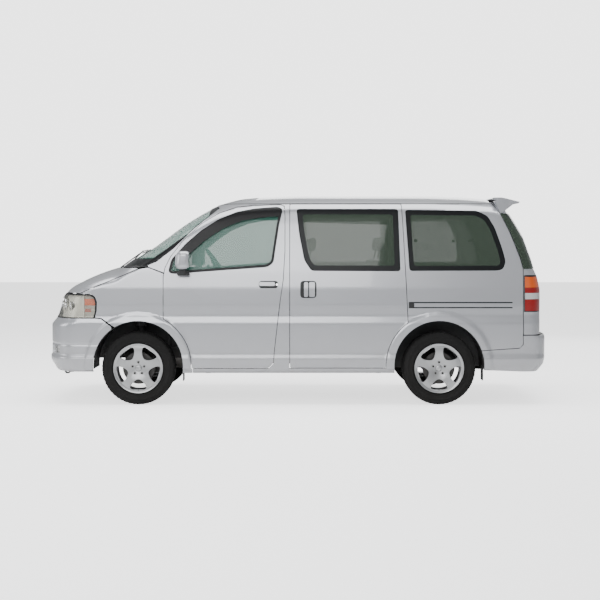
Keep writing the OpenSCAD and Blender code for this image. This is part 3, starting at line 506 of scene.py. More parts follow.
silver = finish("silver_paint", (0.53, 0.54, 0.57), 0.3, 0.62, drift=0.03, patch=1.4, grain=2600, bump=0.02,
    dust=0.45, coat_weight=1.0, coat_roughness=0.04)
black_trim = finish("moulded_black_plastic", (0.016, 0.017, 0.018), 0.5, grain=900, bump=0.25, dust=0.12)
gasket = finish("gasket_rubber", (0.012, 0.012, 0.013), 0.62, grain=1400, bump=0.12, dust=0.2)
black_gloss = finish("black_enamel_band", (0.006, 0.007, 0.008), 0.3, drift=0.04, bump=0.01,
    specular_ior_level=0.25)
chassis_paint = finish("chassis_black", (0.022, 0.022, 0.024), 0.62, grain=240, bump=0.35, drift=0.25,
    dust=0.25)
interior = finish("interior_plastic", (0.055, 0.058, 0.062), 0.6, grain=1100, bump=0.3, drift=0.06)
lining = finish("door_lining", (0.16, 0.165, 0.17), 0.75, grain=700, bump=0.3, drift=0.08)
headlining = finish("headlining_felt", (0.42, 0.42, 0.41), 0.9, grain=1800, bump=0.4, drift=0.05)
rubber = finish("tyre_rubber", (0.006, 0.006, 0.006), 0.8, grain=700, bump=0.25, drift=0.2, dust=0.03,
    specular_ior_level=0.3)
alloy = finish("wheel_alloy", (0.50, 0.51, 0.52), 0.3, 0.85, drift=0.05, patch=12, grain=1600, bump=0.04,
    dust=0.25, coat_weight=0.6, coat_roughness=0.1)
steel = finish("bare_steel", (0.32, 0.31, 0.30), 0.42, 0.9, drift=0.3, patch=14, grain=300, bump=0.25,
    dust=0.5)
# Dark brake disc steel. It is also put on the wheel nuts as painted shade that stands for the shade in their
# wells.
disc_steel_and_nut_shade = finish("brake_disc", (0.07, 0.068, 0.066), 0.5, 0.8, drift=0.2, patch=20, grain=900, bump=0.15)
cast_metal = finish("engine_castings", (0.24, 0.24, 0.24), 0.5, 0.8, drift=0.25, patch=8, grain=180, bump=0.5)
chrome = finish("chrome", (0.82, 0.82, 0.83), 0.07, 1.0, drift=0.03, bump=0.01)
satin_silver = finish("lamp_lining", (0.80, 0.78, 0.66), 0.3, 0.25, drift=0.08, patch=9, bump=0.05)
clear_glass = finish("green_tinted_glass", (0.07, 0.21, 0.16), 0.03, drift=0.02, bump=0.004, alpha=0.46,
    ior=1.5)
dark_glass = finish("privacy_glass", (0.06, 0.085, 0.062), 0.03, drift=0.02, bump=0.004, alpha=0.6, ior=1.5)
smoked = finish("smoked_visor", (0.010, 0.010, 0.011), 0.3, drift=0.05, bump=0.01, alpha=0.93,
    specular_ior_level=0.25)
smoked_sash = finish("dark_sash", (0.02, 0.03, 0.028), 0.1, drift=0.05, bump=0.01, alpha=0.55)
lens = ribbed(finish("clear_lens", (0.55, 0.55, 0.50), 0.04, drift=0.02, bump=0.01, alpha=0.13,
    ior=1.5), 30, 0.12)
amber = ribbed(finish("amber_lens", (0.72, 0.10, 0.0), 0.3, drift=0.05, bump=0.02, coat_weight=0.3), 60, 0.35)
red = ribbed(finish("red_lens", (0.30, 0.0, 0.0), 0.3, drift=0.05, bump=0.02, coat_weight=0.3), 60, 0.35)
red_reflector = ribbed(finish("orange_red_reflector", (0.60, 0.05, 0.0), 0.3, drift=0.05,
    coat_weight=0.3), 140, 0.5)
milky = ribbed(finish("reversing_lens", (0.62, 0.62, 0.62), 0.14, drift=0.05, coat_weight=1.0), 60, 0.35)
plate_white = finish("blank_plate", (0.72, 0.72, 0.70), 0.4, grain=500, bump=0.05)
fabric = ribbed(ribbed(finish("seat_fabric", (0.07, 0.073, 0.08), 0.92, grain=2200, bump=0.5, drift=0.12,
    sheen_weight=0.4), 260, 0.35), 260, 0.35, "Z")
floor_grey = finish("pale_floor", (0.92, 0.92, 0.92), 0.8, drift=0.02, grain=60, bump=0.01,
    emission_color=(1, 1, 1, 1))
floor_tree = floor_grey.node_tree
seen = wired(floor_tree, "LightPath", {}).outputs["Is Camera Ray"]
feed(floor_tree, floor_tree.nodes["Principled BSDF"], {"Emission Strength": maths(floor_tree, "MULTIPLY",
    seen, 1.7)})
slot_materials = {
    "silver_paint": [silver], "black_plastic": [black_trim, gasket, black_gloss, smoked],
    "alloy": [alloy, chrome, satin_silver, plate_white], "bare_steel": [steel, disc_steel_and_nut_shade],
    "lamp_lens": [lens, amber, red_reflector], "red_lens": [red, milky], "trim_plastic": [interior],
    "clear_glass": [clear_glass], "dark_glass": [dark_glass, smoked_sash], "seat_fabric": [fabric],
    "tyre_rubber": [rubber],
}
usual_slot = {material.name: slot for slot, group in slot_materials.items() for material in group}

floor_mesh = bmesh.new()
ops.create_grid(floor_mesh, x_segments=2, y_segments=2, size=40)
studio_floor = as_object(floor_mesh)
studio_floor.name = "studio_floor"
studio_floor.data.materials.append(floor_grey)

# -------- side-view outlines
front_door_outline = [
    (-1254, 1213), (-1237, 1297), (-1186, 1398), (-1069, 1549), (-901, 1708), (-733, 1810),
    (-566, 1868), (-398, 1885), (-163, 1893), (-120, 1876), (-113, 1784), (-113, 1448),
    (-129, 1180), (-163, 945), (-188, 727), (-213, 508), (-222, 391), (-263, 349), (-1254, 349),
]
front_window_outline = [
    (-1195, 1264), (-1171, 1250), (-280, 1314), (-231, 1349), (-180, 1700), (-147, 1842),
    (-180, 1859), (-398, 1842), (-566, 1810), (-733, 1742), (-901, 1633), (-1036, 1515), (-1171, 1364),
]
sliding_door_outline = [(-62, 1897), (992, 1897), (997, 1800), (1047, 794), (1047, 352), (-62, 352)]
middle_window_outline = [(-3, 1851), (23, 1616), (72, 1364), (139, 1264), (980, 1261), (963, 1851)]
quarter_window_outline = [
    (1028, 1842), (1711, 1834), (1811, 1784), (1878, 1668), (1946, 1465), (1974, 1349),
    (1946, 1280), (1893, 1267), (1064, 1264),
]
windscreen_edge = [(-1404, 1316), (-1322, 1349), (-1171, 1465), (-1002, 1633), (-738, 1863), (-800, 1903)]
side_outline = [
    (-1397, 1303), *windscreen_edge, (1866, 1903), (1930, 1803), (2012, 1633), (2060, 1509), (2108, 1378),
    (2132, 1287), (2132, 573), (2108, 540), (1752, 516), (1345, 500), (1345, 301),
    (-980, 301), (-980, 355), (-700, 400), (-700, 1100), (-1200, 1215), (-1254, 1250),
]
wing_outline = [
    (-1896, 826), (-1896, 845), (-1883, 885), (-1880, 970), (-1897, 1022), (-1936, 1048),
    (-2042, 1050), (-1493, 1279), (-1404, 1294), (-1262, 1241), (-1230, 1200),
    (-985, 600), (-985, 301), (-1650, 301), (-1650, 700), (-1735, 750), (-1840, 822),
]

# -------- sides and doors
lower_rows = spread(*[(k, k + 1, max(1, round((ledges[k + 1] - ledges[k]) / 16))) for k in range(SIDE_ROW)])


def rows_to(last):
    return spread((0, 0, 1))[:1] + lower_rows[1:] + spread((SIDE_ROW, CROWN_ROW, 44), (CROWN_ROW,
        last, 14))[1:]


def side_slab(x0, x1, last, depth=0, thickness=60, step=17):
    columns = spread((x0, x1, round((x1 - x0) / step)))
    return curved_slab(columns, rows_to(last), skin_point, depth, thickness)


def band(x0, x1, first, last, depth, thickness, step=22, rows=34):
    """A slab of the side between two rows, for panes and trim."""
    columns = spread((x0, x1, max(2, round((x1 - x0) / step))))
    return curved_slab(columns, spread((first, last, rows)), skin_point, depth, thickness)


def door_hole(outline, axle):
    """What a door takes out of the side: its outline grown by the shut gap, less the arch's lip band."""
    return cut(prism(grown(outline, shut_gap)), disc(axle, arch_z, arch_r + flare_w - shut_gap, -1001, 1))


def side_panel(has_sliding_door):
    cuts = [disc(rear_axle_x, arch_z, arch_r), door_hole(front_door_outline, front_axle_x),
        prism(rounded(quarter_window_outline, window_corner))]
    if has_sliding_door:
        cuts.append(door_hole(sliding_door_outline, rear_axle_x))
    else:
        cuts.append(prism(rounded(middle_window_outline, window_corner)))
    return cut(common(side_slab(-1420, 2140, CROWN_ROW + 0.85), prism(side_outline)), *cuts)


def front_door():
    lower = common(side_slab(-1262, -90, door_top_row, 0, 60), prism(rounded(front_door_outline, 14)))
    return cut(lower, prism(rounded(front_window_outline, 22)), disc(front_axle_x, arch_z, arch_r + flare_w))


def sliding_door():
    whole = common(side_slab(-70, 1055, slide_top_row), prism(rounded(sliding_door_outline, 14)))
    return cut(whole, prism(rounded(middle_window_outline, window_corner)), disc(rear_axle_x, arch_z,
        arch_r + flare_w))


def wing():
    whole = common(side_slab(-2100, -960, CROWN_ROW + 0.6, 0, 26, 14), prism(wing_outline))
    return cut(whole, disc(front_axle_x, arch_z, arch_r), door_hole(front_door_outline, front_axle_x))


def pane(outline, last):
    xs = [p[0] for p in outline]
    return common(band(min(xs) - 5, max(xs) + 5, SIDE_ROW, last, 8, 5), prism(rounded(grown(outline, -0.3),
        window_corner)))


def window_ring(outline, outer, inner, last, depth, thickness, side, step=22, rows=34):
    """A layer of the side between two outlines round a window."""
    xs = [p[0] for p in outline]
    ring = cut(prism(outer), prism(inner, -1001, 1))
    return common(band(min(xs) - side, max(xs) + side, SIDE_ROW, last, depth, thickness, step, rows), ring)


def frame_band(outline, outside, inside, last, depth, thickness):
    """A band along a window's edge, from outside the outline to inside it."""
    return window_ring(outline, rounded(grown(outline, outside), window_corner),
        rounded(grown(outline, -inside), window_corner), last, depth, thickness, 30, 16, 44)


painted = [silver, lining]
new_piece("left_side_panel_skin", side_panel(True), painted, node="left_side_panel")
new_piece("right_side_panel_skin", mirrored(side_panel(False)), painted, node="right_side_panel")
new_piece("sliding_door_skin", sliding_door(), painted, node="sliding_door")
on_both_doors("door_skin", front_door(), painted, "front_door")
new_piece("front_wing_skins", both_sides(wing()), painted, node="front_wings")

# Panes and their rubber
door_pane = pane(front_window_outline, door_top_row)
on_both_doors("door_glass", door_pane, clear_glass, "door_window")
middle_pane = pane(middle_window_outline, slide_top_row)
quarter_pane = pane(quarter_window_outline, slide_top_row)
fixed_panes = joined(mirrored(middle_pane), mirrored(quarter_pane), quarter_pane)
new_piece("fixed_side_glass", fixed_panes, dark_glass, node="side_windows")
new_piece("sliding_door_glass", middle_pane, dark_glass, node="sliding_door_window")

door_rubber = frame_band(front_window_outline, gasket_w, 10, door_top_row, -2, 9.5)
on_both_doors("door_rubber", door_rubber, gasket)
middle_border = frame_band(middle_window_outline, 4, 52, border_top_row, 6.2, 1.4)
quarter_border = frame_band(quarter_window_outline, 4, 46, border_top_row, 6.2, 1.4)
new_piece("side_glass_borders", joined(both_sides(middle_border), both_sides(quarter_border)), black_gloss)


def inner_sash(outline, opening, corner):
    """The darker fixed part of a window behind its glass, round the sliding pane."""
    return window_ring(outline, rounded(grown(outline, -30), window_corner), rounded(opening, corner),
        slide_top_row, 14, 1.5, 5)


middle_opening = [(100, 1762), (92, 1500), (120, 1330), (888, 1330), (888, 1762)]
quarter_opening = [(1094, 1762), (1094, 1330), (1720, 1330), (1700, 1560), (1600, 1762)]
sashes = joined(both_sides(inner_sash(middle_window_outline, middle_opening, 40)),
    both_sides(inner_sash(quarter_window_outline, quarter_opening, 60)))
new_piece("side_window_sashes", sashes, smoked_sash)
catches = [block(x - 16, x + 16, -772, -752, 1538, 1566, 7) for x in (100, 918, 1128, 1668, 1842)]
new_piece("side_window_catches", both_sides(joined(*catches)), black_trim)

# -------- top, bonnet and windscreen
def across_slab(x0, x1, first_row, depth, thickness, step=22, half=26):
    """A slab right across the body, from a row on the left over the top to the same on the right."""
    def point(x, share, d):
        p = skin_point(x, TOP_ROW - abs(share) * (TOP_ROW - first_row), d)
        return Vector((p.x, copysign(p.y, share), p.z))
    columns = spread((x0, x1, round((x1 - x0) / step)))
    return curved_slab(columns, spread((-1, 1, 2 * half)), point, depth, thickness)


def cut_across(slab, outline):
    return common(slab, prism(outline, -1000, 1000))


def tube(points, radius, segments=12):
    """A round bar along a line of points, in millimetres."""
    curve = bpy.data.curves.new("line", "CURVE")
    curve.dimensions = "3D"
    curve.bevel_depth = radius * MM
    curve.bevel_resolution = max(1, segments // 4)
    curve.use_fill_caps = True
    line = curve.splines.new("POLY")
    line.points.add(len(points) - 1)
    for place, p in zip(line.points, points):
        place.co = (*(Vector(p) * MM), 1)
    holder = bpy.data.objects.new("line", curve)
    bpy.context.scene.collection.objects.link(holder)
    mesh = applied(holder)
    bm = bmesh.new()
    bm.from_mesh(mesh)
    bpy.data.objects.remove(holder)
    bpy.data.meshes.remove(mesh)
    return cleaned(bm)


roof = cut_across(across_slab(-815, 1862, CROWN_ROW + 0.2, 0, 26), [(-799, 1903.3), (1864, 1903.3),
    (1854, 1927), (1852, 2020), (-799, 2020)])
new_piece("roof_skin", roof, [silver, headlining], node="roof_panel")
bonnet = cut_across(across_slab(-2262, -1495, CROWN_ROW, 0, 14, 16, 34), [(-2400, 1056), (-2044, 1056),
    (-1498, 1285), (-1510, 1290), (-2400, 1290)])
new_piece("bonnet_skin", bonnet, [silver, chassis_paint], "bonnet", node="bonnet")
screen_side = [(x - 1.2, z) for x, z in windscreen_edge]
windscreen = cut_across(across_slab(-1735, -760, CROWN_ROW, 2, 5), [(-1800, 1316.3), *screen_side,
    (-1800, 1903)])
new_piece("windscreen_glass", windscreen, clear_glass, node="windscreen")
screen_band = cut_across(across_slab(-1735, -760, CROWN_ROW, 0.6, 1.2), [(-1800, 1316.3), *screen_side,
    (-1800, 1903)])
clear_part = cut_across(across_slab(-1690, -835, CROWN_ROW + 0.12, -20, 60), [(-1800, 1370), (-1300, 1385),
    (-1115, 1530), (-955, 1690), (-790, 1822), (-800, 1990), (-1800, 1990)])
new_piece("windscreen_border", cut(screen_band, clear_part), black_gloss)

# -------- front end
ring_steps = spread((-2, -1, 26), (-1, 1, 72), (1, 2, 26))


def front_slab(z0, z1, side_end, depth, thickness, step=9):
    return curved_slab(ring_steps, spread((z0, z1, round((z1 - z0) / step))), front_point(side_end), depth,
        thickness)


bumper = common(front_slab(314, 817, bumper_end, 0, 30), prism([(-2500, 315), (-1900, 315), (-1740, 330),
    (-1745, 738), (-1845, 811), (-1902, 815), (-2500, 815)], -1000, 1000))
lower_intake = block(-2440, -2250, -480, 480, 432, 552, 18)
fog_lamp_holes = both_sides(common(prism(rounded([(-2500, 486), (-2150, 486), (-2150, 556),
    (-2500, 556)], 20), -850, -600), block(-2500, -2140, -812, -640, 480, 562, 20)))
bumper = cut(bumper, disc(front_axle_x, arch_z, arch_r, -1001, 1001), lower_intake, fog_lamp_holes)
new_piece("front_bumper_skin", bumper, [silver, black_trim], node="front_bumper")
fog_lens = both_sides(common(front_slab(480, 570, bumper_end, 14, 4),
    block(-2500, -2140, -810, -642, 482, 560, 18)))
fog_back = both_sides(common(front_slab(480, 570, bumper_end, 34, 4),
    block(-2500, -2100, -824, -630, 475, 566, 10)))
new_piece("fog_lamp_lenses", fog_lens, lens)
new_piece("fog_lamp_backs", fog_back, chrome)
intake_bars = joined(*[common(front_slab(z, z + 12, bumper_end, 12, 22, 6),
    block(-2440, -2250, -478, 478, 430, 554)) for z in (462, 492, 522)])
new_piece("lower_intake_bars", intake_bars, black_trim)
intake_back = common(front_slab(420, 562, bumper_end, 44, 3), block(-2440, -2150, -492, 492, 424, 560, 20))
new_piece("lower_intake_mesh", intake_back, gasket)

grille_half = 330
grille = common(front_slab(812, 1048, -1900, 4, 30), block(-2420, -2120, -grille_half,
    grille_half, 815.3, 1044, 12))
slots = [block(-2420, -2220, 22 - grille_half, grille_half - 22, z, z + 30, 6) for z in (850, 900, 950, 1000)]
new_piece("grille_frame", cut(grille, *slots), [black_trim, black_trim],
    slot="grille_plastic", node="radiator_grille")
grille_rim = common(front_slab(1014, 1040, -1900, 0, 4, 5), block(-2420, -2120, 16 - grille_half,
    grille_half - 16, 1018, 1028))
new_piece("grille_bright_strip", grille_rim, chrome)

lamp_outline = [
    (-2500, 815.5), (-1906, 815.5), (-1903, 842), (-1891, 885), (-1888, 967), (-1903, 1014),
    (-1940, 1041), (-2059, 1044), (-2500, 1044)]


def headlamp_layer(depth, thickness, shrink, x0=-2500, x1=-1880, z0=815, z1=1044):
    """A layer of the left headlamp at a depth, inside its outline shrunk by a border."""
    shape = common(prism(rounded(grown(lamp_outline, -shrink), 12), -1000, -grille_half - 12 - shrink),
        block(x0, x1, -1000, -300, z0 + shrink, z1 - shrink, 0))
    return common(front_slab(812, 1048, lamp_end, depth, thickness, 8), shape)


lamp_shell = cut(headlamp_layer(-1, 60, 0), headlamp_layer(-30, 120, 9))
new_piece("headlamp_gaskets", both_sides(lamp_shell), gasket)
lamp_lens = both_sides(headlamp_layer(0, 4, 8.5))
new_piece("headlamp_lenses", lamp_lens, lens, node="headlamps")
new_piece("headlamp_dividers", both_sides(joined(headlamp_layer(8, 44, 9, -2012, -2004), headlamp_layer(8, 44,
    9, -2004, -1880, 892, 900))), satin_silver)
new_piece("indicator_lenses", both_sides(headlamp_layer(10, 14, 9, -1998, -1880, 930, 1010)), amber)
new_piece("headlamp_reflex", both_sides(headlamp_layer(8, 10, 9, -1994, -1936, 870, 916)), red_reflector)


def bowl(x, y, z, r, depth):
    """A round headlamp bowl that opens forwards."""
    bm = bmesh.new()
    profile = [(r * sin(radians(a)),
        depth * (1 - cos(radians(a)))) for a in range(0, 91, 9)]
    verts = [bm.verts.new((-d, p, 0)) for p, d in profile]
    edges = [bm.edges.new(pair) for pair in zip(verts, verts[1:])]
    ops.spin(bm, geom=verts + edges, axis=(1, 0, 0), cent=(0, 0, 0), angle=tau, steps=40,
        use_merge=True)
    ops.remove_doubles(bm, verts=bm.verts[:], dist=1e-3)
    ops.solidify(bm, geom=bm.faces[:], thickness=1.5)
    ops.recalc_face_normals(bm, faces=bm.faces[:])
    ops.transform(bm, matrix=Matrix.Translation(Vector((x, y, z)) * MM) @ Matrix.Scale(MM, 4),
        verts=bm.verts[:])
    return bm


bowl_z = 928
lamp_bowls = [(-450, 78, 52), (-620, 74, 48), (-752, 46, 34)]


def nose_x(y):
    """Where the lens lies in front of a bowl."""
    reach = [front_point(lamp_end)(s, bowl_z, 0) / MM for s in ring_steps]
    return min(reach, key=lambda point: abs(point.y - y)).x


lamp_back, bowls = headlamp_layer(46, 5, 9), []
for y, r, depth in lamp_bowls:
    rim_x = nose_x(y - r) + 12
    bowls.append(bowl(rim_x + depth, y, bowl_z, r, depth))
    lamp_back = cut(lamp_back, tube([(rim_x - 200, y, bowl_z), (rim_x + 200, y, bowl_z)], r - 2, 40))
new_piece("headlamp_backs", both_sides(lamp_back), satin_silver)
new_piece("headlamp_bowls", both_sides(joined(*bowls)), chrome)

# -------- rear end
rear_steps = spread((2, 1, 26), (1, -1, 72), (-1, -2, 26))


def rear_slab(z0, z1, side_end, profile, depth, thickness, step=14):
    return curved_slab(rear_steps, spread((z0, z1, round((z1 - z0) / step))), rear_point(side_end, profile),
        depth, thickness)


def end_prism(outline, x0, x1):
    """An outline in y and z, pushed along the vehicle from x0 to x1."""
    bm = prism(outline, x0, x1)
    for v in bm.verts:
        v.co.x, v.co.y = v.co.y, v.co.x
    ops.reverse_faces(bm, faces=bm.faces[:])
    return bm


tail_edge = [
    (1864, 1925), (1872, 1911), (1937, 1803), (2019, 1636), (2067, 1511), (2115, 1380), (2139, 1288),
    (2139, 664), (2500, 664), (2500, 1960), (1864, 1960)]
rear_window_outline = [(-770, 1277), (770, 1277), (640, 1820), (-640, 1820)]
spoiler_outline = [(1873, 1945), (1873, 1962), (1960, 1964), (2130, 1922), (2126, 1906), (2060, 1899)]
tail_lamp_outline = [(2142, 878), (2142, 1225), (2270, 1225), (2420, 1180), (2420, 878)]

tailgate = common(rear_slab(664, 1925, tail_end, tail, 0, 60), prism(tail_edge, -1000, 1000))
plate_recess = block(2300, 2500, -270, 270, 760, 930, 16)
tailgate = cut(tailgate, prism(spoiler_outline, -641, 641),
    end_prism(rounded(rear_window_outline, 60), 1900, 2500),
    both_sides(prism(tail_lamp_outline, -1000, -690)))
tailgate = cut(tailgate, common(rear_slab(740, 950, tail_end, tail, -30, 52), plate_recess))
new_piece("tailgate_skin", tailgate, painted, "tailgate", node="tailgate")


def rear_wrap():
    """What bounds the rear window's layers."""
    return prism(tail_edge, -1000, 1000), block(1700, 2500, -1000, 1000, 1284, 1808)


rear_pane = common(rear_slab(1260, 1830, tail_end, tail, -5, 4), *rear_wrap())
new_piece("rear_window_glass", rear_pane, dark_glass, "tailgate", node="rear_window")
rear_border = cut(common(rear_slab(1260, 1830, tail_end, tail, -0.8, 0.6), *rear_wrap()),
    end_prism(rounded(grown(rear_window_outline, -30), 60), 1899, 2501))
new_piece("rear_window_border", rear_border, black_gloss, "tailgate")


def tail_lamp_layer(depth, thickness, border, z0=878, z1=1225):
    shape = common(prism(rounded(grown(tail_lamp_outline, -border), 10), -1000, -690 - border),
        block(2100, 2460, -1000, -600, z0, z1, 0))
    return common(rear_slab(870, 1235, 2100, tail, depth, thickness, 8), shape)


lamp_body = both_sides(tail_lamp_layer(3, 42, 1))
new_piece("tail_lamp_housings", lamp_body, black_trim, "tailgate", node="tail_lamps")
new_piece("tail_lamp_indicator_lenses", both_sides(tail_lamp_layer(-1, 5, 9, 1108, 1208)), amber, "tailgate",
    slot="red_lens")
new_piece("tail_lamp_reversing_lenses", both_sides(tail_lamp_layer(-1, 5, 9, 998, 1056)), milky, "tailgate")
red_lenses = joined(tail_lamp_layer(-1, 5, 9, 1058, 1106), tail_lamp_layer(-1, 5, 9, 886, 996))
new_piece("tail_lamp_red_lenses", both_sides(red_lenses), red, "tailgate")

rear_bumper = common(rear_slab(315, 655, 1735, bumper_tail, 0, 30, 10), prism([(1735, 330), (1735, 509),
    (2104, 533), (2138, 570), (2138, 655), (2500, 655), (2500, 330), (2300, 315), (2126, 315)], -1000, 1000))
rear_bumper = cut(rear_bumper, disc(rear_axle_x, arch_z, arch_r, -1001, 1001))
step_top = common(rear_slab(625, 655, 2100, bumper_tail, 0.5, 90), block(2200, 2600, -700, 700, 600, 700))
new_piece("rear_bumper_skin", rear_bumper, [silver, black_trim], node="rear_bumper")
new_piece("rear_bumper_step", step_top, black_trim)

spoiler = prism(rounded(spoiler_outline, 12), -640, 640)
spoiler_ends = both_sides(common(prism(rounded([(1880, 1925), (1960, 1958), (2126, 1916), (2060, 1898),
    (1950, 1812), (1936, 1815)], 10), -742, -632), block(1850, 2200, -742, -632, 1790, 1990, 24)))
new_piece("spoiler_skin", carve(spoiler, "UNION", spoiler_ends), silver, "tailgate", node="rear_spoiler")

# -------- wheels
tyre_r, tyre_half, lip_r, wheel_y = 345, 107, 233, 780
TREAD_STEPS = 150


def spun(profile, steps, closed=False):
    """A ring about the y axis from a profile of radius and y, in millimetres."""
    bm = bmesh.new()
    verts = [bm.verts.new((r * MM, y * MM, 0)) for r, y in profile]
    pairs = list(zip(verts, verts[1:] + verts[:1] if closed else verts[1:]))
    edges = [bm.edges.new(pair) for pair in pairs]
    ops.spin(bm, geom=verts + edges, axis=(0, 1, 0), cent=(0, 0, 0), angle=tau, steps=steps,
        use_merge=True)
    return cleaned(bm, 2e-5)


def tyre():
    """Sidewalls, four grooves round the tread, and lugs cut into both shoulders."""
    groove_edges = []
    for centre in (-66, -23, 23, 66):
        groove_edges += [(tyre_r, centre - 6), (tyre_r - 8, centre - 4), (tyre_r - 8, centre + 4),
                         (tyre_r, centre + 6)]
    side = [(lip_r - 3, 84), (lip_r + 4, 98), (250, 102), (252, 104.5), (256, 104.5), (258, 103.5),
            (290, 105.5), (294, tyre_half), (299, tyre_half), (302, 105), (318, 103), (332, 97), (341, 88)]
    profile = ([(r, -y) for r, y in side] + groove_edges + [(r, y) for r,
        y in reversed(side)] + [(lip_r - 14, 60), (lip_r - 14, -60)])
    bm = spun(profile, TREAD_STEPS, True)
    for v in bm.verts:
        r = hypot(v.co.x, v.co.z)
        turn = round(atan2(v.co.z, v.co.x) / tau * TREAD_STEPS)
        if r > (tyre_r - 14) * MM and abs(v.co.y) > 71 * MM and turn % 3 == 0:
            v.co.x *= 1 - 6 * MM / r
            v.co.z *= 1 - 6 * MM / r
    return bm


def wheel_window(k, front, back):
    """The opening between two spokes, wider at the face than behind it."""
    half_angles = [(106, 5), (118, 13), (135, 18.5), (155, 21.5), (180, 23), (198, 22.5), (207, 17)]
    middle = radians(90 + 36 + 72 * k)

    def at(r, a, extra):
        return ((r + extra * (1 if r > 140 else -1)) * cos(middle + a),
            (r + extra * (1 if r > 140 else -1)) * sin(middle + a))
    left = [(r, radians(a)) for r, a in half_angles]
    right = [(r, -a) for r, a in reversed(left)]
    bm = prism(rounded([at(r, a, 0) for r, a in left + right], 14, 4), front, back)
    for v in bm.verts:
        if abs(v.co.y - front * MM) < 1e-6:
            centre = Vector((cos(middle), 0, sin(middle))) * 145 * MM
            flat = Vector((v.co.x, 0, v.co.z)) - centre
            v.co += flat * 0.09
    return bm


def wheel_face():
    """Barrel, lip and five flared spokes on a dished face, with five nut wells and a cap."""
    barrel = spun([(lip_r, -106), (lip_r + 2, -101), (lip_r - 5, -97), (216, -90), (208, -60), (203, 30),
        (222, 84), (lip_r, 104), (lip_r - 6, 104), (214, 88), (196, 30), (200, -62), (207, -92),
        (224, -104)], 96, True)
    face = spun([(26, -74), (48, -79), (66, -82), (100, -93), (150, -99), (190, -98), (212, -94), (214, -74),
        (190, -74), (150, -73), (100, -66), (60, -48), (26, -46)], 120, True)
    face = cut(face, *[wheel_window(k, -130, -30) for k in range(5)])
    dimples = [disc(57 * cos(a), 57 * sin(a), 15, -110, -76, 32)
               for a in [radians(90 + 72 * k) for k in range(5)]]
    face = cut(face, *dimples)
    cap = spun([(0.01, -91), (18, -90), (26, -87), (30, -82), (30, -60), (0.01, -60)], 48)
    bm = joined(barrel, face, cap)
    for f in bm.faces:
        f.material_index = 0
    return bm


def wheel_fittings():
    """Five nuts and the valve."""
    nuts = []
    for k in range(5):
        a = radians(90 + 72 * k)
        nut = bmesh.new()
        ops.create_cone(nut, cap_ends=True, segments=6, radius1=8 * MM, radius2=10.5 * MM, depth=26 * MM,
                              matrix=Matrix.Translation(Vector((57 * cos(a), -76, 57 * sin(a))) * MM)
                              @ Matrix.Rotation(pi / 2, 4, "X"))
        nuts.append(nut)
    nuts.append(disc(0, -206, 4, -100, -60, 16))
    return joined(*nuts)


def placed(bm, x, y, z, turned=False):
    """A copy of a wheel part moved to its axle, turned round for the right-hand side."""
    copy = bm.copy()
    turn = Matrix.Rotation(pi, 4, "Z") if turned else Matrix.Identity(4)
    ops.transform(copy, matrix=Matrix.Translation(Vector((x, y, z)) * MM) @ turn, verts=copy.verts[:])
    return copy


tyre_shape, face_shape, fitting_shape = tyre(), wheel_face(), wheel_fittings()
brake_shape = spun([(60, -44), (150, -44), (152, -42), (152, -22), (150, -20), (60, -20)], 72, True)
for end, axle in (("front", front_axle_x), ("rear", rear_axle_x)):
    for side, way in (("left", -1), ("right", 1)):
        body = f"{end}_{side}_wheel"
        here = (axle, way * wheel_y, axle_z, way > 0)
        new_piece(f"{end}_{side}_tyre_tread", placed(tyre_shape, *here), rubber, body,
            node=f"{end}_{side}_tyre", smooth_angle=50)
        new_piece(f"{end}_{side}_wheel_face", placed(face_shape, *here), alloy, body,
            node=f"{end}_{side}_rim")
        # The nuts take the dark brake disc finish as painted shade: its darkness stands for the shade in the
        # nut wells round them.
        new_piece(f"{end}_{side}_wheel_nuts", placed(fitting_shape, *here), disc_steel_and_nut_shade, body, slot="alloy")
        new_piece(f"{end}_{side}_brake_disc", placed(brake_shape, *here), disc_steel_and_nut_shade, body)

# -------- trim on the sides
def side_point(x, z, depth):
    """A point of the left side by its height."""
    y = half_width_at(x, z) * crown_share(x, z) + (flare(x, z) if depth < 40 else 0) - depth
    return Vector((x, -y, z)) * MM


def side_patch(outline, depth, thickness, corner=10, step=9):
    """A plate that follows the side within an outline."""
    xs, zs = [p[0] for p in outline], [p[1] for p in outline]
    columns = spread((min(xs) - 8, max(xs) + 8, max(2, round((max(xs) - min(xs)) / step))))
    heights = spread((min(zs) - 8, max(zs) + 8, max(2, round((max(zs) - min(zs)) / step))))
    slab = curved_slab(columns, heights, side_point, depth, thickness)
    return common(slab, prism(rounded(outline, corner)))


def box_outline(x0, x1, z0, z1):
    return [(x0, z0), (x1, z0), (x1, z1), (x0, z1)]


# Front door handles: an oblong well with a pull bar over it
on_both_doors("handle_well", side_patch(box_outline(-358, -172, 1100, 1172), -0.8, 3, 30), black_trim)
on_both_doors("handle_rim", cut(side_patch(box_outline(-366, -164, 1092, 1180), -3, 5, 38),
    prism(rounded(box_outline(-356, -174, 1101, 1171), 30), -1001, 1)), silver)
on_both_doors("handle_bar", side_patch(box_outline(-352, -204, 1124, 1160), -16, 12, 16), silver)
on_both_doors("door_lock", common(side_patch(box_outline(-196, -174, 1125, 1147), -4, 4, 10, 4),
    disc(-185, 1136, 10)), chrome, slot="bare_steel")
slide_well = side_patch(box_outline(32, 190, 1008, 1172), -0.8, 3, 36)
slide_rim = cut(side_patch(box_outline(23, 198, 998, 1181), -3, 5, 44),
    prism(rounded(box_outline(34, 188, 1009, 1171), 36), -1001, 1))
new_piece("sliding_door_handle_well", slide_well, black_trim)
new_piece("sliding_door_handle_rim", slide_rim, silver)
new_piece("sliding_door_handle_bar", joined(side_patch(box_outline(70, 108, 1020, 1160), -16, 12, 16),
    side_patch(box_outline(118, 172, 1020, 1160), -5, 5, 16)), silver)

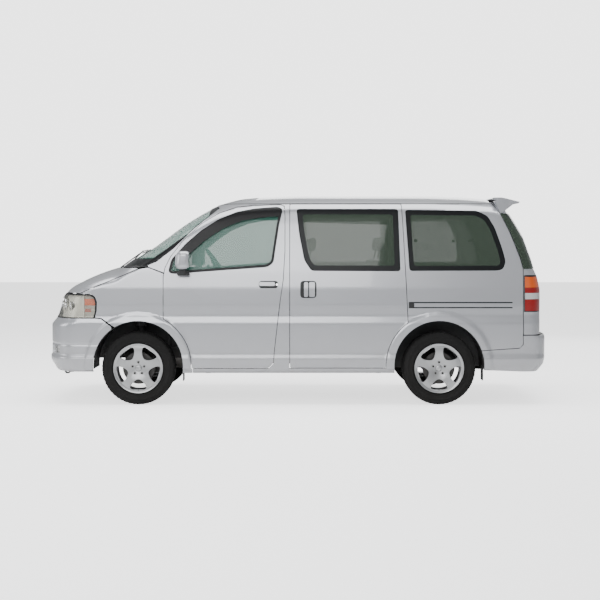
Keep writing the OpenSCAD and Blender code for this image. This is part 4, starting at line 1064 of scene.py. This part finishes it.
# Slide rail on the quarter
rail = joined(*[side_patch(box_outline(1056, 2034, z, z + 12), -1.2, 4, 5, 14) for z in (913, 961)])
new_piece("slide_rail_slots", rail, gasket)
new_piece("slide_rail_cover", side_patch(box_outline(1062, 2030, 930, 956), -4, 5, 6, 14), silver)
new_piece("slide_rail_end", side_patch(box_outline(1056, 1108, 918, 968), -5, 6, 12, 8), black_trim)
# Fuel flap on the right quarter, and the roof seams
flap = side_patch(box_outline(1180, 1360, 1010, 1170), -0.9, 1.8, 26)
flap_gap = side_patch(box_outline(1176, 1364, 1006, 1174), -0.2, 1.2, 28)
new_piece("fuel_flap_gap", mirrored(flap_gap), gasket)
new_piece("fuel_flap", mirrored(flap), silver)
seam = both_sides(tube([side_point(x, 1903, -1.5) / MM for x in range(-790, 1860, 30)], 2.2))
new_piece("roof_seams", seam, gasket)
# Rain visors over the front door windows
visor_ring = cut(prism(rounded(grown(front_window_outline, 8), 24)), prism([(x + 42, z - 76) for x,
    z in rounded(front_window_outline, window_corner)], -1001, 1))
visor = common(band(-1230, -120, SIDE_ROW, door_top_row, -15, 3, 16, 44), visor_ring)
visor = cut(visor, block(-1300, -1130, -1100, 0, 1200, 1420))
on_both_doors("rain_visor", visor, smoked)

# Door mirrors
def mirror_head():
    head = block(-1134, -993, -1060, -922, 1283, 1452, 46, 8)
    for v in head.verts:
        lean = (v.co.z - 1.367) * 0.10
        v.co.x += lean + max(0, -v.co.y - 0.96) * 0.25 * (1 if v.co.x < -1.06 else 0)
    return head


def mirror_foot():
    foot = block(-1122, -1008, -944, -838, 1222, 1262, 16, 4)
    neck = block(-1096, -1030, -962, -922, 1240, 1310, 14, 4)
    return joined(foot, neck)


head = cut(mirror_head(), block(-1008, -970, -1046, -936, 1300, 1436, 14))
on_both_doors("mirror_head", head, silver)
on_both_doors("mirror_foot", mirror_foot(), black_trim)
on_both_doors("mirror_glass", block(-1008, -1002, -1045, -937, 1301, 1435, 2), chrome)
hinge_pins = both_sides(joined(*[tube([(-1257, -876, z), (-1257, -876, z + 60)], 2.7) for z in (880, 1040)]))
new_piece("door_hinge_pins", hinge_pins, steel)

# -------- seats and cabin
def puffed(bm, voxel=13, cap=16):
    """A soft pad: remeshed, blown up a little as cloth, and smoothed."""
    pad = as_object(bm)
    remesh = pad.modifiers.new("remesh", "REMESH")
    remesh.mode, remesh.voxel_size = "VOXEL", voxel * MM
    mesh = applied(pad)
    pad.modifiers.clear()
    pad.data = mesh
    start = [v.co.copy() for v in mesh.vertices]
    cloth = pad.modifiers.new("cloth", "CLOTH")
    cloth.settings.use_pressure = True
    cloth.settings.uniform_pressure_force = 4
    cloth.settings.effector_weights.gravity = 0
    cloth.settings.quality = 4
    for step in range(1, 21):
        bpy.context.scene.frame_set(step)
    swollen = applied(pad)
    pad.modifiers.clear()
    bpy.context.scene.frame_set(1)
    for v, rest in zip(swollen.vertices, start):
        move = v.co - rest
        if move.length > cap * MM:
            v.co = rest + move.normalized() * cap * MM
    pad.data = swollen
    bm = bmesh.new()
    bm.from_mesh(pad.data)
    bpy.data.objects.remove(pad)
    for _ in range(3):
        ops.smooth_vert(bm, verts=bm.verts[:], factor=0.5, use_axis_x=True, use_axis_y=True,
            use_axis_z=True)
    return bm


def pad_block(length, width, height, bevel, channels=()):
    """A pad of seat foam about the origin, with sewn channels pressed into its top."""
    bm = block(-length / 2, length / 2, -width / 2, width / 2, -height / 2, height / 2, bevel, 4)
    bm = puffed(bm)
    for v in bm.verts:
        if v.co.z > height * MM * 0.3:
            for y in channels:
                v.co.z -= 7 * MM * exp(-(((v.co.y / MM) - y) / 9) ** 2)
    return bm


def turned(bm, place, lean=0):
    copy = bm.copy()
    ops.transform(copy, matrix=Matrix.Translation(Vector(place) * MM) @ Matrix.Rotation(
        radians(lean), 4, "Y"), verts=copy.verts[:])
    return copy


cushion_z, third_row_z, floor_top = 830, 640, 520
cushion_shape = pad_block(480, 484, 124, 40, (-150, 150))
back_shape = pad_block(500, 464, 84, 34, (-140, 140))
head_shape = pad_block(140, 236, 74, 30)
bench_shape = pad_block(480, 604, 124, 40, (-190, 190))
bench_back_shape = pad_block(500, 590, 84, 34, (-180, 180))
rear_shape = pad_block(480, 518, 124, 40, (-160, 160))
rear_back_shape = pad_block(500, 500, 84, 34, (-150, 150))
BACK_LEAN = 14.5


def seat_place(name, node, x, y, top, cushion, back, head):
    """A cushion, a leaning back and a head restraint, on the seat's place in the cabin."""
    pads = [(name + "_cushion", turned(cushion, (x + 248, y, top - 34))), (name + "_back", turned(back,
        (x + 572, y, top + 300), 90 + BACK_LEAN))]
    if head:
        pads.append((name + "_head_restraint", turned(head, (x + 668, y, top + 684), 90 + 6)))
    for pad_name, bm in pads:
        pad = new_piece(pad_name, bm, fabric, smooth_angle=180)
        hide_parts(node)
    posts = [tube([(x + 645, y + p, top + 540), (x + 668, y + p,
        top + 650)], 6) for p in (-50, 50)] if head else []
    frame_parts = [block(x + 60, x + 440, y - 190, y + 190, floor_top, top - 96, 12), *posts]
    new_piece(name + "_frame", joined(*frame_parts), interior)


for side, y in (("left", -380), ("right", 380)):
    seat_place(f"{side}_front_seat", "front_seats", -520, y, cushion_z, cushion_shape, back_shape, head_shape)
    seat_place(f"{side}_second_seat", "rear_seats", 150, y * 0.82, cushion_z, bench_shape, bench_back_shape,
        head_shape)
    seat_place(f"{side}_third_seat", "rear_seats", 1130, y * 0.7, third_row_z, rear_shape, rear_back_shape,
        None)

# -------- finishes of the carried-over parts
node_finishes = {
    "floor_pan": chassis_paint, "chassis_rails": chassis_paint, "crossmembers": chassis_paint,
    "firewall": black_trim, "arch_liners": black_trim, "dashboard": interior, "engine": cast_metal,
    "propeller_shaft": steel, "rear_axle": chassis_paint, "front_suspension": chassis_paint,
    "fuel_tank": chassis_paint, "exhaust": steel, "spare_wheel": rubber, "windscreen_wipers": gasket,
    "left_knuckle": cast_metal, "right_knuckle": cast_metal, "steering_wheel": interior,
}
for node_name, material in node_finishes.items():
    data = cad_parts[node_name].data
    data.materials.clear()
    data.materials.append(material)

# Inner wheel houses, cabin mirror, grab handles, and the wiper and plate of the tailgate
houses = both_sides(block(front_axle_x - 400, front_axle_x + 395, -473, -469, 505, 788, 1))
new_piece("inner_wheel_houses", houses, black_trim)
cabin_mirror = joined(block(-905, -880, -120, 120, 1640, 1700, 10), tube([(-880, 0, 1700),
    (-850, 0, 1800)], 7))
new_piece("cabin_mirror", cabin_mirror, interior)
grab_handles = both_sides(tube([(-850, -700, 1560), (-870, -690, 1600), (-840, -685, 1650),
    (-790, -682, 1668)], 9))
new_piece("grab_handles", grab_handles, interior)
wiper_points = [(2322, 0, 1262), (2330, 60, 1300), (2326, 330, 1310)]
rear_wiper = joined(tube(wiper_points, 7), disc(2318, 1262, 16, -14, 14, 24))
new_piece("rear_wiper", rear_wiper, gasket, "tailgate")
plate = block(2334, 2339, -165, 165, 765, 925, 2)
new_piece("rear_plate", plate, plate_white, "tailgate")
new_piece("tailgate_recess", block(2312, 2330, -290, 290, 745, 945, 4), black_trim, "tailgate")
